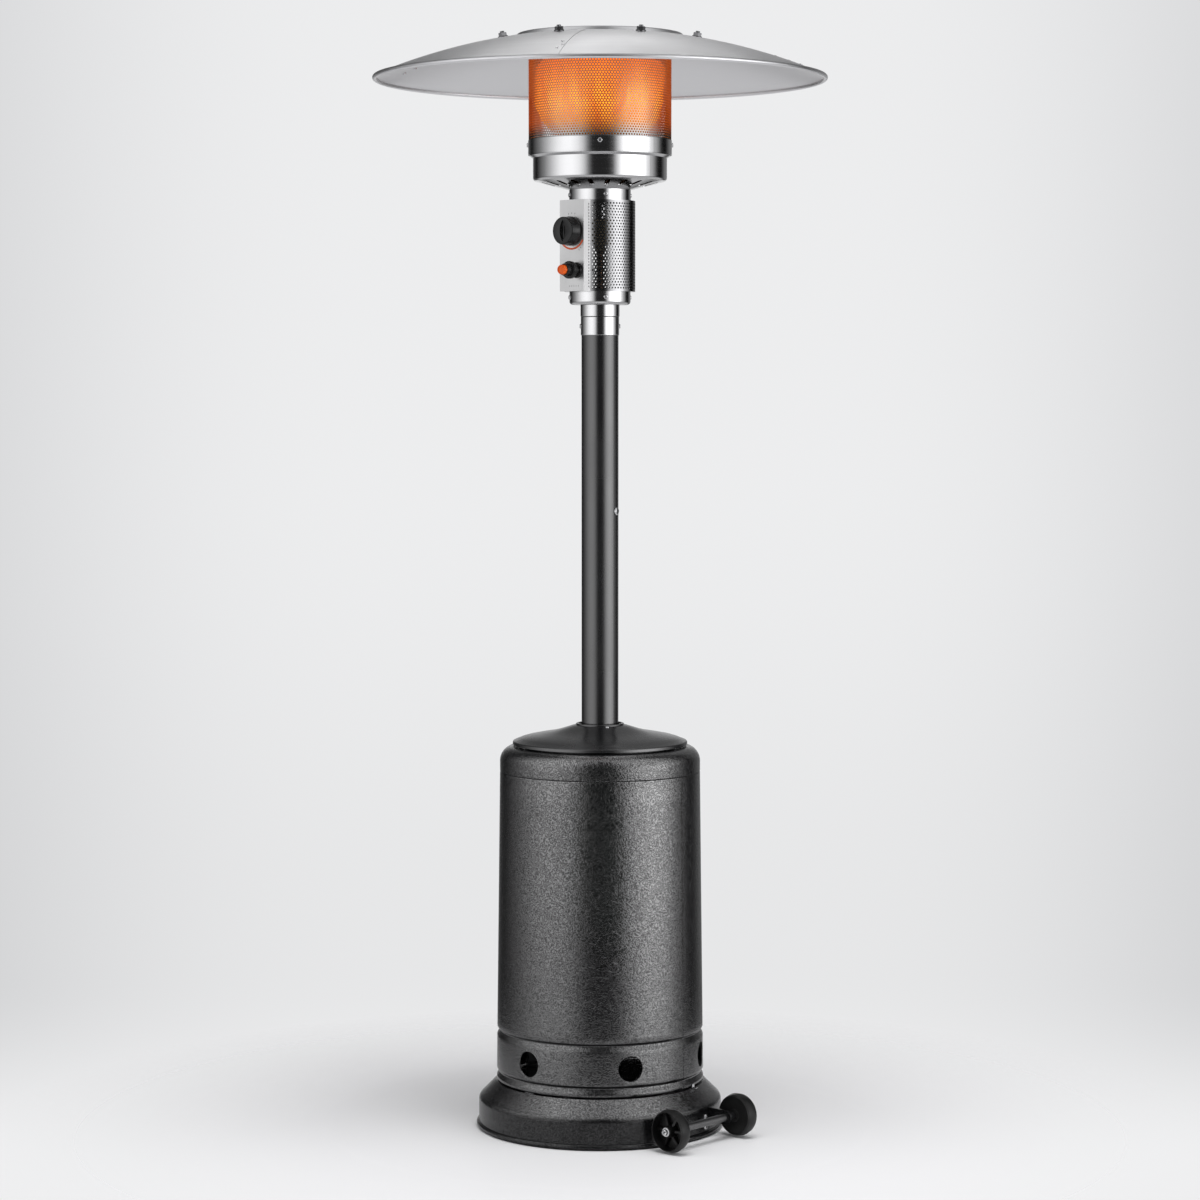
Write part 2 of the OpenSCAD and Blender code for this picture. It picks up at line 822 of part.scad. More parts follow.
module wheel(side) {
    tread = concat(
        [[wheel_r - rim_t, -wheel_w / 2]],
        arc(wheel_r - tread_round, -wheel_w / 2 + tread_round, tread_round, -90, 0, 5),
        arc(wheel_r - tread_round, wheel_w / 2 - tread_round, tread_round, 0, 90, 5),
        [[wheel_r - rim_t, wheel_w / 2]]);
    color("#191919")
        translate([axle_x, side * wheel_track / 2, axle_z])
            rotate([-90 * side, 0, 0])
                difference() {
                    union() {
                        rotate_extrude()
                            polygon(tread);
                        cylinder(r = wheel_r - rim_t / 2, h = web_t, center = true);
                        cylinder(r = hub_r, h = wheel_w, center = true);
                        for (k = [0 : spokes - 1])
                            rotate([0, 0, k * 360 / spokes])
                                translate([0, -spoke_w / 2, -spoke_h / 2])
                                    cube([wheel_r - rim_t / 2, spoke_w, spoke_h]);
                    }
                    cylinder(r = spindle_r + run_gap, h = wheel_w + 2 * through, center = true);
                }
}

module wheel_1() {
    wheel(-1);
}

module wheel_2() {
    wheel(1);
}

// Tank housing and lid

module housing_shell() {
    outer = concat(
        [[housing_r(housing_z), housing_z]],
        groove(housing_z + groove_low),
        groove(housing_z + groove_high),
        [[housing_r(housing_top_z), housing_top_z]]);
    color("#1b1b1c")
        difference() {
            rotate_extrude()
                polygon(concat(outer, reversed(lowered(outer, housing_t, 0))));
            for (k = [0 : vents - 1])
                radial_bar(k * 360 / vents, vent_z, housing_r1 / 2, housing_r0 + vent_r, vent_r);
        }
}

module housing_shoulder() {
    joggle_r = housing_r1 - housing_t - fit_gap;
    bend = arc(housing_r1 - shoulder_r, shoulder_bend_z, shoulder_r, 0, 90, 10);
    bend_in = arc(housing_r1 - shoulder_r, shoulder_bend_z, shoulder_r - housing_t, 90, 0, 10);
    color("#1b1b1c")
        rotate_extrude()
            polygon(concat(
                [[housing_r1, housing_top_z]], bend, [[mouth_r, shoulder_top_z]],
                [[mouth_r, shoulder_top_z - housing_t]], bend_in,
                [[housing_r1 - housing_t, housing_top_z + housing_t],
                [joggle_r - housing_t, housing_top_z - housing_t],
                [joggle_r - housing_t, housing_top_z - joggle_h],
                [joggle_r, housing_top_z - joggle_h], [joggle_r, housing_top_z]]));
}

module lid() {
    edge = arc(lid_r - lid_edge_r, lid_top_z - lid_edge_r, lid_edge_r, 0, 90, 4);
    edge_in = arc(lid_r - lid_edge_r, lid_top_z - lid_edge_r, lid_edge_r - lid_t, 90, 0, 4);
    guide_r = mouth_r - 2 * rest_gap;
    guide_top_z = lid_top_z + rim_rise * (lid_r - lid_edge_r - guide_r) / (lid_r - lid_edge_r - cone_r);
    color("#202021")
        rotate_extrude() {
            polygon(concat(
                [[lid_r, lid_z]], edge,
                [[cone_r, lid_cone_z], [lid_ring_r, lid_ring_z], [lid_ring_r, lid_ring_z + lid_ring_h],
                [lid_hole_r, lid_ring_z + lid_ring_h], [lid_hole_r, lid_ring_z - lid_t],
                [lid_ring_r, lid_ring_z - lid_t], [cone_r, lid_cone_z - lid_t]],
                edge_in, [[lid_r - lid_t, lid_z]]));
            translate([guide_r - lid_t, shoulder_top_z - lid_guide_h])
                square([lid_t, guide_top_z - lid_t / 2 - shoulder_top_z + lid_guide_h]);
        }
}

// Control head

module post_collar() {
    sleeve_r = collar_r + collar_lip;
    groove_z = collar_z + collar_groove_h;
    top_z = collar_z + collar_h;
    color("#d3d4d6")
        difference() {
            union() {
                ring(collar_r, post_r + fit_gap, collar_z, collar_groove_h + collar_t);
                ring(sleeve_r, post_r + fit_gap, groove_z + collar_t, collar_h - collar_groove_h - collar_t);
                ring(sleeve_r, pipe_hole_r - 2 * collar_t, top_z - collar_t, collar_t);
            }
            for (az = collar_screw_az)
                radial_bar(az, collar_screw_z, post_r - post_t, collar_r + collar_t, head_screw_r + fit_gap);
        }
}

module collar_screws() {
    color("#9fa0a2")
        for (az = collar_screw_az)
            radial_screw(az, collar_screw_z, collar_r, head_screw_head_r, head_screw_head_h, head_screw_r,
                head_screw_len);
}

module head_screws(z, r) {
    color("#9fa0a2")
        for (az = square_az)
            radial_screw(az, z, r, head_screw_head_r, head_screw_head_h, head_screw_r, head_screw_len);
}

module head_screw_holes(z, r) {
    for (az = square_az)
        radial_bar(az, z, r - 2 * head_screw_len, r + head_screw_len, head_screw_r + fit_gap);
}

module control_cup() {
    bend = arc(cup_r - cup_corner_r, cup_z + cup_corner_r, cup_corner_r, -90, 0, 8);
    bend_in = arc(cup_r - cup_corner_r, cup_z + cup_corner_r, cup_corner_r - head_t, 0, -90, 8);
    color("#d3d4d6")
        difference() {
            rotate_extrude()
                polygon(concat(
                    [[pipe_hole_r - head_t, cup_z]], bend, [[cup_r, shroud_z], [cup_r - head_t, shroud_z]],
                    bend_in, [[pipe_hole_r - head_t, cup_z + head_t]]));
            head_screw_holes(cup_screw_z, cup_r);
        }
}

module cup_screws() {
    head_screws(cup_screw_z, cup_r);
}

// Tip-over switch standing on the cup's floor
module tilt_switch() {
    color("#2d3134")
        translate([-switch_w / 2, switch_y, cup_z + head_t])
            cube([switch_w, switch_d, switch_h]);
}

module frame_rods() {
    color("#9fa0a2")
        for (az = rod_azimuths)
            at_az(az)
                translate([0, -rod_ring_r, shroud_z + head_t])
                    cylinder(r = rod_r, h = shroud_h - 2 * head_t);
}

module control_shroud() {
    color("#cfd0d2")
        difference() {
            union() {
                ring(shroud_r, shroud_r - head_t, shroud_z, shroud_h);
                ring(shroud_r, ledge_r, shroud_z, head_t);
                ring(shroud_r, ledge_r, shroud_top_z - head_t, head_t);
            }
            translate([-panel_w / 2 + 2 * panel_t, -shroud_r - through, shroud_z + window_margin])
                cube([panel_w - 4 * panel_t, shroud_r, shroud_h - 2 * window_margin]);
        }
}

module control_panel() {
    color("#d8d8d8")
        difference() {
            translate([-panel_w / 2, -panel_y, shroud_z])
                cube([panel_w, panel_y - shroud_r / 2, shroud_h]);
            translate([-panel_w / 2 + panel_t, -panel_y + panel_t, shroud_z + panel_t])
                cube([panel_w - 2 * panel_t, panel_y, shroud_h - 2 * panel_t]);
            translate([0, 0, shroud_z - through])
                cylinder(r = shroud_r + fit_gap, h = shroud_h + 2 * through);
            on_panel(0, knob_z)
                cylinder(r = stem_hole_r, h = 4 * panel_t, center = true);
            on_panel(igniter_x, igniter_z)
                cylinder(r = thread_hole_r, h = 4 * panel_t, center = true);
        }
}

// Printed arc under the knob that marks the heat range
module heat_arc() {
    reach = panel_w / 2 - panel_t;
    color("#d9532b")
        intersection() {
            on_panel(0, knob_z)
                difference() {
                    cylinder(r = arc_r + arc_w, h = arc_t);
                    translate([0, 0, -through])
                        cylinder(r = arc_r, h = arc_t + 2 * through);
                }
            translate([-reach, -panel_y - 2 * arc_t, knob_z - 2 * arc_r])
                cube([2 * reach, 4 * arc_t, 2 * arc_r - arc_low]);
        }
}

module gas_valve() {
    color("#b08d4a")
        difference() {
            union() {
                translate([-valve_w / 2, -valve_front_y, valve_z])
                    cube([valve_w, valve_front_y + valve_back_y, valve_h]);
                translate([0, 0, valve_z - pipe_nut_h])
                    cylinder(r = inlet_hex_r, h = pipe_nut_h, $fn = hex);
                translate([0, -valve_front_y, knob_z])
                    rotate([90, 0, 0])
                        cylinder(r = valve_w / 3, h = valve_boss_h);
            }
            translate([0, -valve_front_y - stem_depth, knob_z])
                rotate([-90, 0, 0])
                    cylinder(r = stem_r + run_gap, h = 2 * stem_depth);
        }
}

// Stem that the knob turns, with a flat that carries the knob round
module valve_stem() {
    base_y = valve_front_y - stem_depth + rest_gap;
    tip = panel_y + knob_gap + stem_reach;
    color("#c9cacb")
        translate([0, -base_y, knob_z])
            rotate([90, 0, 0])
                difference() {
                    cylinder(r = stem_r, h = tip - base_y);
                    translate([-stem_r, stem_flat, panel_y + rest_gap - base_y])
                        cube([2 * stem_r, stem_r, tip]);
                }
}

module knob() {
    bore_h = stem_reach + knob_push + rest_gap;
    color("#1a1a1b")
        on_panel(0, knob_z)
            difference() {
                rotate_extrude()
                    polygon(concat(
                        [[0, knob_gap], [knob_r, knob_gap], [knob_r, knob_gap + knob_skirt_h],
                        [knob_face_r, knob_gap + 2 * knob_skirt_h]],
                        arc(knob_face_r - knob_edge_r, knob_reach - knob_edge_r, knob_edge_r, 0, 90, 6),
                        [[0, knob_reach]]));
                translate([0, 0, knob_gap - through])
                    intersection() {
                        cylinder(r = stem_r + run_gap, h = bore_h + through);
                        translate([-2 * stem_r, -2 * stem_r, 0])
                            cube([4 * stem_r, 2 * stem_r + stem_flat + run_gap, bore_h + through]);
                    }
                difference() {
                    intersection() {
                        translate([lens_r - lens_half_w, 0, knob_reach - grip_d])
                            cylinder(r = lens_r, h = grip_d + through);
                        translate([lens_half_w - lens_r, 0, knob_reach - grip_d])
                            cylinder(r = lens_r, h = grip_d + through);
                    }
                    translate([-ridge_w / 2, -knob_r, knob_reach - grip_d - through])
                        cube([ridge_w, 2 * knob_r, ridge_d + through]);
                }
            }
}

module igniter_collar() {
    color("#1a1a1b")
        on_panel(igniter_x, igniter_z)
            difference() {
                union() {
                    cylinder(r = flange_r, h = flange_h);
                    cylinder(r = barrel_r, h = barrel_len);
                    translate([0, 0, igniter_ring_z])
                        cylinder(r = igniter_ring_r, h = igniter_ring_h - igniter_ring_bevel);
                    translate([0, 0, igniter_ring_z + igniter_ring_h - igniter_ring_bevel])
                        cylinder(r1 = igniter_ring_r, r2 = igniter_ring_r - igniter_ring_bevel,
                            h = igniter_ring_bevel);
                    translate([0, 0, -panel_t - piezo_nut_h])
                        cylinder(r = thread_r, h = panel_t + piezo_nut_h + through);
                }
                translate([0, 0, button_root - button_push - rest_gap])
                    cylinder(r = button_r + run_gap, h = barrel_len + through);
            }
}

module igniter_body() {
    color("#3c3d3f")
        on_panel(igniter_x, igniter_z) {
            difference() {
                translate([0, 0, -panel_t - piezo_nut_h])
                    cylinder(r = piezo_nut_r, h = piezo_nut_h, $fn = hex);
                translate([0, 0, -panel_t - piezo_nut_h - through])
                    cylinder(r = thread_r + fit_gap, h = piezo_nut_h + 2 * through);
            }
            translate([0, 0, -panel_t - piezo_nut_h - piezo_len])
                cylinder(r = piezo_r, h = piezo_len);
        }
}

module igniter_button() {
    color("#e8591f")
        on_panel(igniter_x, igniter_z)
            rotate_extrude()
                polygon(concat(
                    [[0, button_root], [button_r, button_root]],
                    arc(button_r - button_edge_r, button_reach - button_edge_r, button_edge_r, 0, 90, 6),
                    [[0, button_reach]]));
}

// Burner

module neck_ring() {
    color("#d3d4d6")
        difference() {
            ring(neck_r, neck_r - head_t, neck_z, neck_h);
            head_screw_holes(neck_screw_z, neck_r);
        }
}

module neck_screws() {
    head_screws(neck_screw_z, neck_r);
}

module air_slot() {
    half = slot_w / 2;
    for (r = [slot_r0 + half, slot_r1 - half])
        translate([0, -r, 0])
            cylinder(r = half, h = bowl_corner + bowl_floor_rise);
    translate([-half, -slot_r1 + half, 0])
        cube([slot_w, slot_r1 - slot_r0 - slot_w, bowl_corner + bowl_floor_rise]);
}

module probe_place(k) {
    at_az(probe_az[k])
        translate([0, -probe_ring_r, 0])
            children();
}

module burner_bowl() {
    wall = [
        [bowl_hole_r, bowl_z], [neck_r, bowl_z], [bowl_floor_r, bowl_floor_z]];
    bend = arc(bowl_floor_r, bowl_floor_z + bowl_corner, bowl_corner, bowl_tilt, 0, 6);
    bend_in = arc(bowl_floor_r, bowl_floor_z + bowl_corner, bowl_corner - head_t, 0, bowl_tilt, 6);
    color("#c4c5c7")
        difference() {
            rotate_extrude()
                polygon(concat(
                    wall, bend,
                    [[bowl_r, bowl_step_z], [bowl_lip_r, band_z - head_t], [bowl_lip_r, band_top_z - head_t],
                    [bowl_lip_r - head_t, band_top_z - head_t], [bowl_lip_r - head_t, band_z],
                    [bowl_r - head_t, bowl_step_z]],
                    bend_in, reversed(lowered(wall, 0, -head_t))));
            for (k = [0 : slots - 1])
                at_az(slot_turn + k * 360 / slots)
                    translate([0, 0, bowl_z])
                        air_slot();
            for (k = [0 : len(probe_az) - 1])
                probe_place(k)
                    translate([0, 0, bowl_z - through])
                        cylinder(r = probe_hole_r, h = head_t + 2 * through);
        }
}

module emitter_band() {
    color("#cfd0d2")
        difference() {
            ring(band_r, band_r - head_t, band_z, band_h);
            for (az = band_screw_az)
                radial_bar(az, band_screw_z, band_r - 2 * head_t, band_r + head_t, head_screw_r + fit_gap);
        }
}

module band_screws() {
    color("#9fa0a2")
        for (az = band_screw_az)
            radial_screw(az, band_screw_z, band_r, head_screw_head_r, head_screw_head_h, head_screw_r,
                head_t);
}

module emitter_screen() {
    color("#e5722a")
        ring(screen_r, screen_r - screen_t, screen_z, screen_h);
}

module emitter_cap() {
    skirt = screen_r - screen_t - fit_gap;
    color("#4a4644")
        union() {
            translate([0, 0, cap_z])
                cylinder(r = screen_r, h = cap_t);
            ring(skirt, skirt - head_t, cap_z - cap_skirt_h, cap_skirt_h + cap_t / 2);
        }
}

module burner_tube() {
    color("#8d8e90")
        union() {
            ring(feed_r, feed_r - feed_t, feed_z, burner_z - feed_z);
            ring(feed_flange_r, feed_r - feed_t, bowl_floor_top, feed_flange_h);
        }
}

module main_burner() {
    color("#77787a")
        difference() {
            rotate_extrude()
                polygon([
                    [0, burner_z], [feed_r + 2 * feed_t, burner_z], [burner_r, burner_z + burner_h / 2],
                    [burner_r, burner_z + burner_h - burner_dish], [0, burner_z + burner_h]]);
            for (k = [0 : ports - 1])
                at_az(k * 360 / ports)
                    translate([0, -port_ring_r, burner_z + burner_h / 2])
                        cylinder(r = port_r, h = burner_h);
        }
}

module probe_foot(r) {
    translate([0, 0, bowl_floor_top])
        cylinder(r = probe_foot_r, h = probe_foot_h);
    translate([0, 0, bowl_z - 4 * probe_foot_h])
        cylinder(r = r, h = probe_top_z - bowl_z);
}

module pilot_burner() {
    color("#b08d4a")
        probe_place(0) {
            probe_foot(pilot_r);
            translate([0, 0, probe_top_z - pilot_hood_h])
                cylinder(r = pilot_hood_r, h = pilot_hood_h);
        }
}

module thermocouple() {
    color("#a9743a")
        probe_place(1)
            probe_foot(thermocouple_r);
}

module igniter_electrode() {
    color("#e6e2d8")
        probe_place(2) {
            probe_foot(electrode_r);
            translate([0, 0, probe_top_z - pilot_hood_h])
                cylinder(r = electrode_tip_r, h = pilot_hood_h);
        }
}

// Reflector

module reflector_standoffs() {
    color("#9fa0a2")
        for (k = [0 : standoffs - 1])
            at_az(k * 360 / standoffs)
                translate([0, -standoff_ring_r, cap_z + cap_t])
                    cylinder(r = standoff_r, h = standoff_h);
}

module bolt_circle() {
    for (k = [0 : reflector_bolts - 1])
        on_dome(first_bolt_az + k * 360 / reflector_bolts, bolt_ring_r)
            children();
}

module reflector_carrier() {
    gap = reflector_t + fit_gap;
    flange = [for (r = [carrier_bend_r, bolt_ring_r, carrier_r]) [r, dome_z(r) - gap]];
    top = concat(
        [[carrier_hole_r, carrier_z + carrier_t], [carrier_flat_r, carrier_z + carrier_t]], flange);
    color("#9fa0a2")
        difference() {
            rotate_extrude()
                polygon(concat(top, reversed(lowered(top, 0, carrier_t))));
            bolt_circle()
                cylinder(r = stud_r + fit_gap, h = 8 * carrier_t, center = true);
        }
}

module reflector() {
    dome_r0 = crown_r + crown_slope;
    dome = [for (i = [0 : dome_steps])
        let (r = dome_r0 + (rim_join_r - dome_r0) * i / dome_steps) [r, dome_z(r)]];
    top = concat([[0, crown_top_z], [crown_r, crown_z]], dome);
    color("#d3d4d6")
        difference() {
            union() {
                rotate_extrude()
                    polygon(concat(top, reversed(lowered(top, 0, reflector_t))));
                rotate_extrude()
                    translate([reflector_r - rim_bead_r, rim_bead_z])
                        circle(r = rim_bead_r);
            }
            bolt_circle()
                cylinder(r = stud_r + fit_gap, h = 8 * carrier_t, center = true);
        }
}

module reflector_nuts() {
    stack = reflector_t + 2 * fit_gap + carrier_t;
    color("#9fa0a2")
        bolt_circle() {
            translate([0, 0, fit_gap])
                cylinder(r = nut_washer_r, h = nut_washer_h);
            translate([0, 0, fit_gap + nut_washer_h])
                cylinder(r = nut_r, h = nut_t, $fn = hex);
            translate([0, 0, -stack - nut_t])
                cylinder(r = stud_r, h = stack + 2 * nut_t + nut_washer_h + stud_tip);
            translate([0, 0, -stack - nut_t])
                cylinder(r = nut_r, h = nut_t - fit_gap, $fn = hex);
        }
}

base_pan();
ballast_plate();
locating_lugs();
support_leg_1();
support_leg_2();
support_leg_3();
leg_bolts();
post_socket();
post();
post_screw();
pipe_clip();
gas_pipe();
inlet_fitting();
wheel_bracket();
bracket_screws();
axle();
axle_bolts();
wheel_1();
wheel_2();
housing_shell();
housing_shoulder();
lid();
post_collar();
collar_screws();
control_cup();
cup_screws();
tilt_switch();
frame_rods();
control_shroud();
control_panel();
heat_arc();
gas_valve();
valve_stem();
knob();
igniter_collar();
igniter_body();
igniter_button();
neck_ring();
neck_screws();
burner_bowl();
emitter_band();
band_screws();
emitter_screen();
emitter_cap();
burner_tube();
main_burner();
pilot_burner();
thermocouple();
igniter_electrode();
reflector_standoffs();
reflector_carrier();
reflector();
reflector_nuts();
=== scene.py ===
"""Looks of the mushroom patio heater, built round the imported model.

Shapes are written in millimetres, and materials, camera and lights in metres."""

import math

import bmesh
import bpy
from mathutils import Matrix, Vector


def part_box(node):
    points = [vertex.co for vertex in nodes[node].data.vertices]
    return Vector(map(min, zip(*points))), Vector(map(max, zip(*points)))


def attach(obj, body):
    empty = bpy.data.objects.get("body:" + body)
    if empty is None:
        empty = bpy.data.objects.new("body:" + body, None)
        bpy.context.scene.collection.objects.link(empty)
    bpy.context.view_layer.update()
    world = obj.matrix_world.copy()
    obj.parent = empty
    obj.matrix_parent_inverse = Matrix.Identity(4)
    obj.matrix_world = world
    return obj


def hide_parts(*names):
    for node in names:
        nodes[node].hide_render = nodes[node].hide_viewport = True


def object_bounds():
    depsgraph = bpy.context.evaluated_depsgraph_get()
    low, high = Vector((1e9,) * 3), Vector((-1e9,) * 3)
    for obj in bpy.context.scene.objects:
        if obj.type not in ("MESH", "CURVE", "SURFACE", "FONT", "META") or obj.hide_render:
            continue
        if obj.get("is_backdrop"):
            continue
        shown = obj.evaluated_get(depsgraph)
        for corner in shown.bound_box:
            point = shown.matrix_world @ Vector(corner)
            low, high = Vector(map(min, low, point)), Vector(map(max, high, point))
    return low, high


MM = 0.001
TURN = 2 * math.pi
TINY = 1e-6
X, Y, Z = range(3)
FLAT_CORNER = 1.55  # half of a corner's angle, in radians, from which it isn't rounded
MITRE_LIMIT = 0.3  # keeps the mitre of a sharp corner from running far out

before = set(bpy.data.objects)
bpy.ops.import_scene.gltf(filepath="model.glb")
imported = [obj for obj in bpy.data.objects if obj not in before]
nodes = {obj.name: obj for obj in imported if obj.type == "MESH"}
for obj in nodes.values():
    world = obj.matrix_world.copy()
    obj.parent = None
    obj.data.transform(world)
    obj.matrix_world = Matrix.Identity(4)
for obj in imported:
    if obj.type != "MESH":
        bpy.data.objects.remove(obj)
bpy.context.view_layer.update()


def span(node):
    """Outer half width, lowest and highest Z of a CAD node, in millimetres."""
    low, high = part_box(node)
    return high.x / MM, low.z / MM, high.z / MM


def middle(node, axis):
    """Middle of a CAD node's box along an axis, in millimetres."""
    low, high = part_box(node)
    return (low[axis] + high[axis]) / 2 / MM


def extent(node, axis):
    """Size of a CAD node's box along an axis, in millimetres."""
    low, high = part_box(node)
    return (high[axis] - low[axis]) / MM


# Placing


def out_of(azimuth, r, z):
    """Local +Z points out of the post axis at azimuth degrees, counted from the panel towards the wheels."""
    a = math.radians(azimuth)
    x, y, n = (math.cos(a), math.sin(a), 0), (0, 0, 1), (math.sin(a), -math.cos(a), 0)
    m = Matrix((x, y, n)).transposed().to_4x4()
    m.translation = Vector(n) * r + Vector((0, 0, z))
    return m


def panel_at(x, z, off=0.0):
    """Local +Z points out of the control panel."""
    m = out_of(0, PANEL_Y + off, z)
    m.translation.x = x
    return m


def axle_at(side):
    """Local +Z points out of a wheel's outer face: side -1 is the near wheel, 1 the far one."""
    y = (0, 0, 1)
    n = (0, side, 0)
    x = Vector(y).cross(Vector(n))
    m = Matrix((tuple(x), y, n)).transposed().to_4x4()
    m.translation = Vector((AXLE_X, side * WHEEL_Y, AXLE_Z))
    return m


def dome_at(azimuth, r, off=0.0):
    """Local +Z stands on the outside of the dome."""
    a, tilt = math.radians(azimuth), math.asin(r / DOME_R)
    n = Vector((math.sin(a) * math.sin(tilt), -math.cos(a) * math.sin(tilt), math.cos(tilt)))
    x = Vector((math.cos(a), math.sin(a), 0))
    y = n.cross(x)
    m = Matrix((x, y, n)).transposed().to_4x4()
    m.translation = Vector((0, 0, APEX_Z - DOME_R)) + n * (DOME_R + off)
    return m


def arc(cx, cy, r, a0, a1, steps):
    """Points of an arc, angles in degrees."""
    angles = [math.radians(a0 + (a1 - a0) * i / steps) for i in range(steps + 1)]
    return [(cx + r * math.cos(a), cy + r * math.sin(a)) for a in angles]


def rounded(points, radii, steps=4):
    """A closed outline with its corners rounded. A radius of 0 keeps a corner."""
    done = []
    for i, (p, radius) in enumerate(zip(points, radii)):
        p, a, b = Vector(p), Vector(points[i - 1]), Vector(points[(i + 1) % len(points)])
        u, v = (a - p).normalized(), (b - p).normalized()
        half = u.angle(v) / 2
        if radius <= 0 or half > FLAT_CORNER:
            done.append(tuple(p))
            continue
        back = radius / math.tan(half)
        middle = p + (u + v).normalized() * radius / math.sin(half)
        start, end = p + u * back - middle, p + v * back - middle
        for k in range(steps + 1):
            done.append(tuple(middle + start.slerp(end, k / steps)))
    return done


# Meshes


def placed(mesh, name, material, body, slot, replaces=(), sharp=32.0):
    """Makes a mesh a piece that rides on a body, smooth but for edges over sharp degrees."""
    mesh.polygons.foreach_set("use_smooth", [True] * len(mesh.polygons))
    mesh.set_sharp_from_angle(angle=math.radians(sharp))
    mesh.materials.append(material)
    piece = bpy.data.objects.new(name, mesh)
    bpy.context.scene.collection.objects.link(piece)
    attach(piece, body)
    if replaces:
        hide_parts(*replaces)


class Form:
    """Collects faces in millimetres, and makes one object of them."""

    def __init__(self):
        self.points, self.faces = [], []

    def add(self, points, faces, matrix=None):
        start = len(self.points)
        points = [Vector(p) for p in points]
        self.points += [matrix @ p if matrix else p for p in points]
        self.faces += [[start + i for i in f] for f in faces]
        return self

    def lathe(self, profile, segments=96, matrix=None, angles=None):
        """Turns a closed outline of (radius, height), counter-clockwise, round Z."""
        angles = angles or [TURN * i / segments for i in range(segments)]
        points, rows = [], []
        for r, z in profile:
            if r < TINY:
                rows.append([len(points)] * len(angles))
                points.append((0, 0, z))
                continue
            rows.append(range(len(points), len(points) + len(angles)))
            points += [(r * math.sin(a), -r * math.cos(a), z) for a in angles]
        faces = []
        for k, low in enumerate(rows):
            high = rows[(k + 1) % len(rows)]
            for i in range(len(angles)):
                j = (i + 1) % len(angles)
                loop = list(dict.fromkeys((low[i], low[j], high[j], high[i])))
                if len(loop) > 2:
                    faces.append(loop)
        return self.add(points, faces, matrix)

    def stack(self, rings, matrix=None):
        """Skins rings of equal count, lowest first and counter-clockwise from above, and closes both ends."""
        n = len(rings[0])
        points = [p for ring in rings for p in ring]
        faces = [list(range(n))[::-1]]
        for k in range(len(rings) - 1):
            for i in range(n):
                j = (i + 1) % n
                faces.append([k * n + i, k * n + j, (k + 1) * n + j, (k + 1) * n + i])
        faces.append(list(range((len(rings) - 1) * n, len(rings) * n)))
        return self.add(points, faces, matrix)

    def slab(self, outline, z0, z1, edge, matrix=None):
        """A plate with its upper and lower edges broken: outline is convex and counter-clockwise."""
        inner = inset(outline, edge)
        rings = [(inner, z0), (outline, z0 + edge), (outline, z1 - edge), (inner, z1)]
        return self.stack([[(x, y, z) for x, y in ring] for ring, z in rings], matrix)

    def make(self, name, *looks, **more):
        mesh = bpy.data.meshes.new(name)
        mesh.from_pydata([p * MM for p in self.points], [], self.faces)
        mesh.validate()
        placed(mesh, name, *looks, **more)


def inset(outline, by):
    """A convex outline, each side moved in."""
    n = len(outline)
    moved = []
    for i in range(n):
        a, p, b = Vector(outline[i - 1]), Vector(outline[i]), Vector(outline[(i + 1) % n])
        u, v = (p - a).normalized(), (b - p).normalized()
        left = Vector((-u.y, u.x)) + Vector((-v.y, v.x))
        left.normalize()
        lean = max(MITRE_LIMIT, left.dot(Vector((-u.y, u.x))))
        moved.append(tuple(p + left * by / lean))
    return moved


def cross_head(form, matrix, r, h, shank_r=0.0, shank=0.0):
    """A domed screw head with a cross recess, standing on local Z 0."""
    reach, half, depth = 0.56 * r, 0.13 * r, 0.5 * h
    corner = math.atan2(half, reach)
    angles = sorted(q * TURN / 4 + d for q in range(4) for d in (-corner, 0.0, corner, TURN / 8))
    profile = [(1.0, 0.0), (1.0, 0.25), (0.97, 0.5), (0.88, 0.75), (0.74, 0.93), (0.64, 1.0)]
    rings = [[(r * s * math.cos(a), r * s * math.sin(a), h * z) for a in angles] for s, z in profile]

    def recess(z):
        ring = []
        for a in angles:
            near = min(abs((a - q * TURN / 4 + math.pi) % TURN - math.pi) for q in range(4))
            edge = reach / math.cos(near) if near < corner + TINY else half / math.sin(near)
            ring.append((edge * math.cos(a), edge * math.sin(a), z))
        return ring

    rings += [recess(h), recess(h - depth)]
    form.stack(rings, matrix)
    if shank:
        form.lathe([(0, -shank), (shank_r, -shank), (shank_r, 0), (0, 0)], 16, matrix)


def hex_ring(across, z, steps=24):
    """A hexagon as a ring of points, with each corner a point."""
    ring = []
    for i in range(steps):
        a = TURN * i / steps
        r = across / math.cos((a + TURN / 12) % (TURN / 6) - TURN / 12)
        ring.append((r * math.cos(a), r * math.sin(a), z))
    return ring


def hex_head(form, matrix, across, h, z0=0.0):
    """A chamfered hexagon, across being half its width over the flats."""
    face, slope = 0.95 * across, 0.6
    top, crown = [], []
    for x, y, _ in hex_ring(across, z0):
        reach = math.hypot(x, y)
        top.append((x, y, z0 + h - (reach - face) * slope))
        crown.append((x * face / reach, y * face / reach, z0 + h))
    form.stack([hex_ring(across, z0), top, crown], matrix)


# Materials

MIX_FACTOR, MIX_COLORS, MIX_RESULT = 0, (6, 7), 2  # sockets of a Mix node set to colours


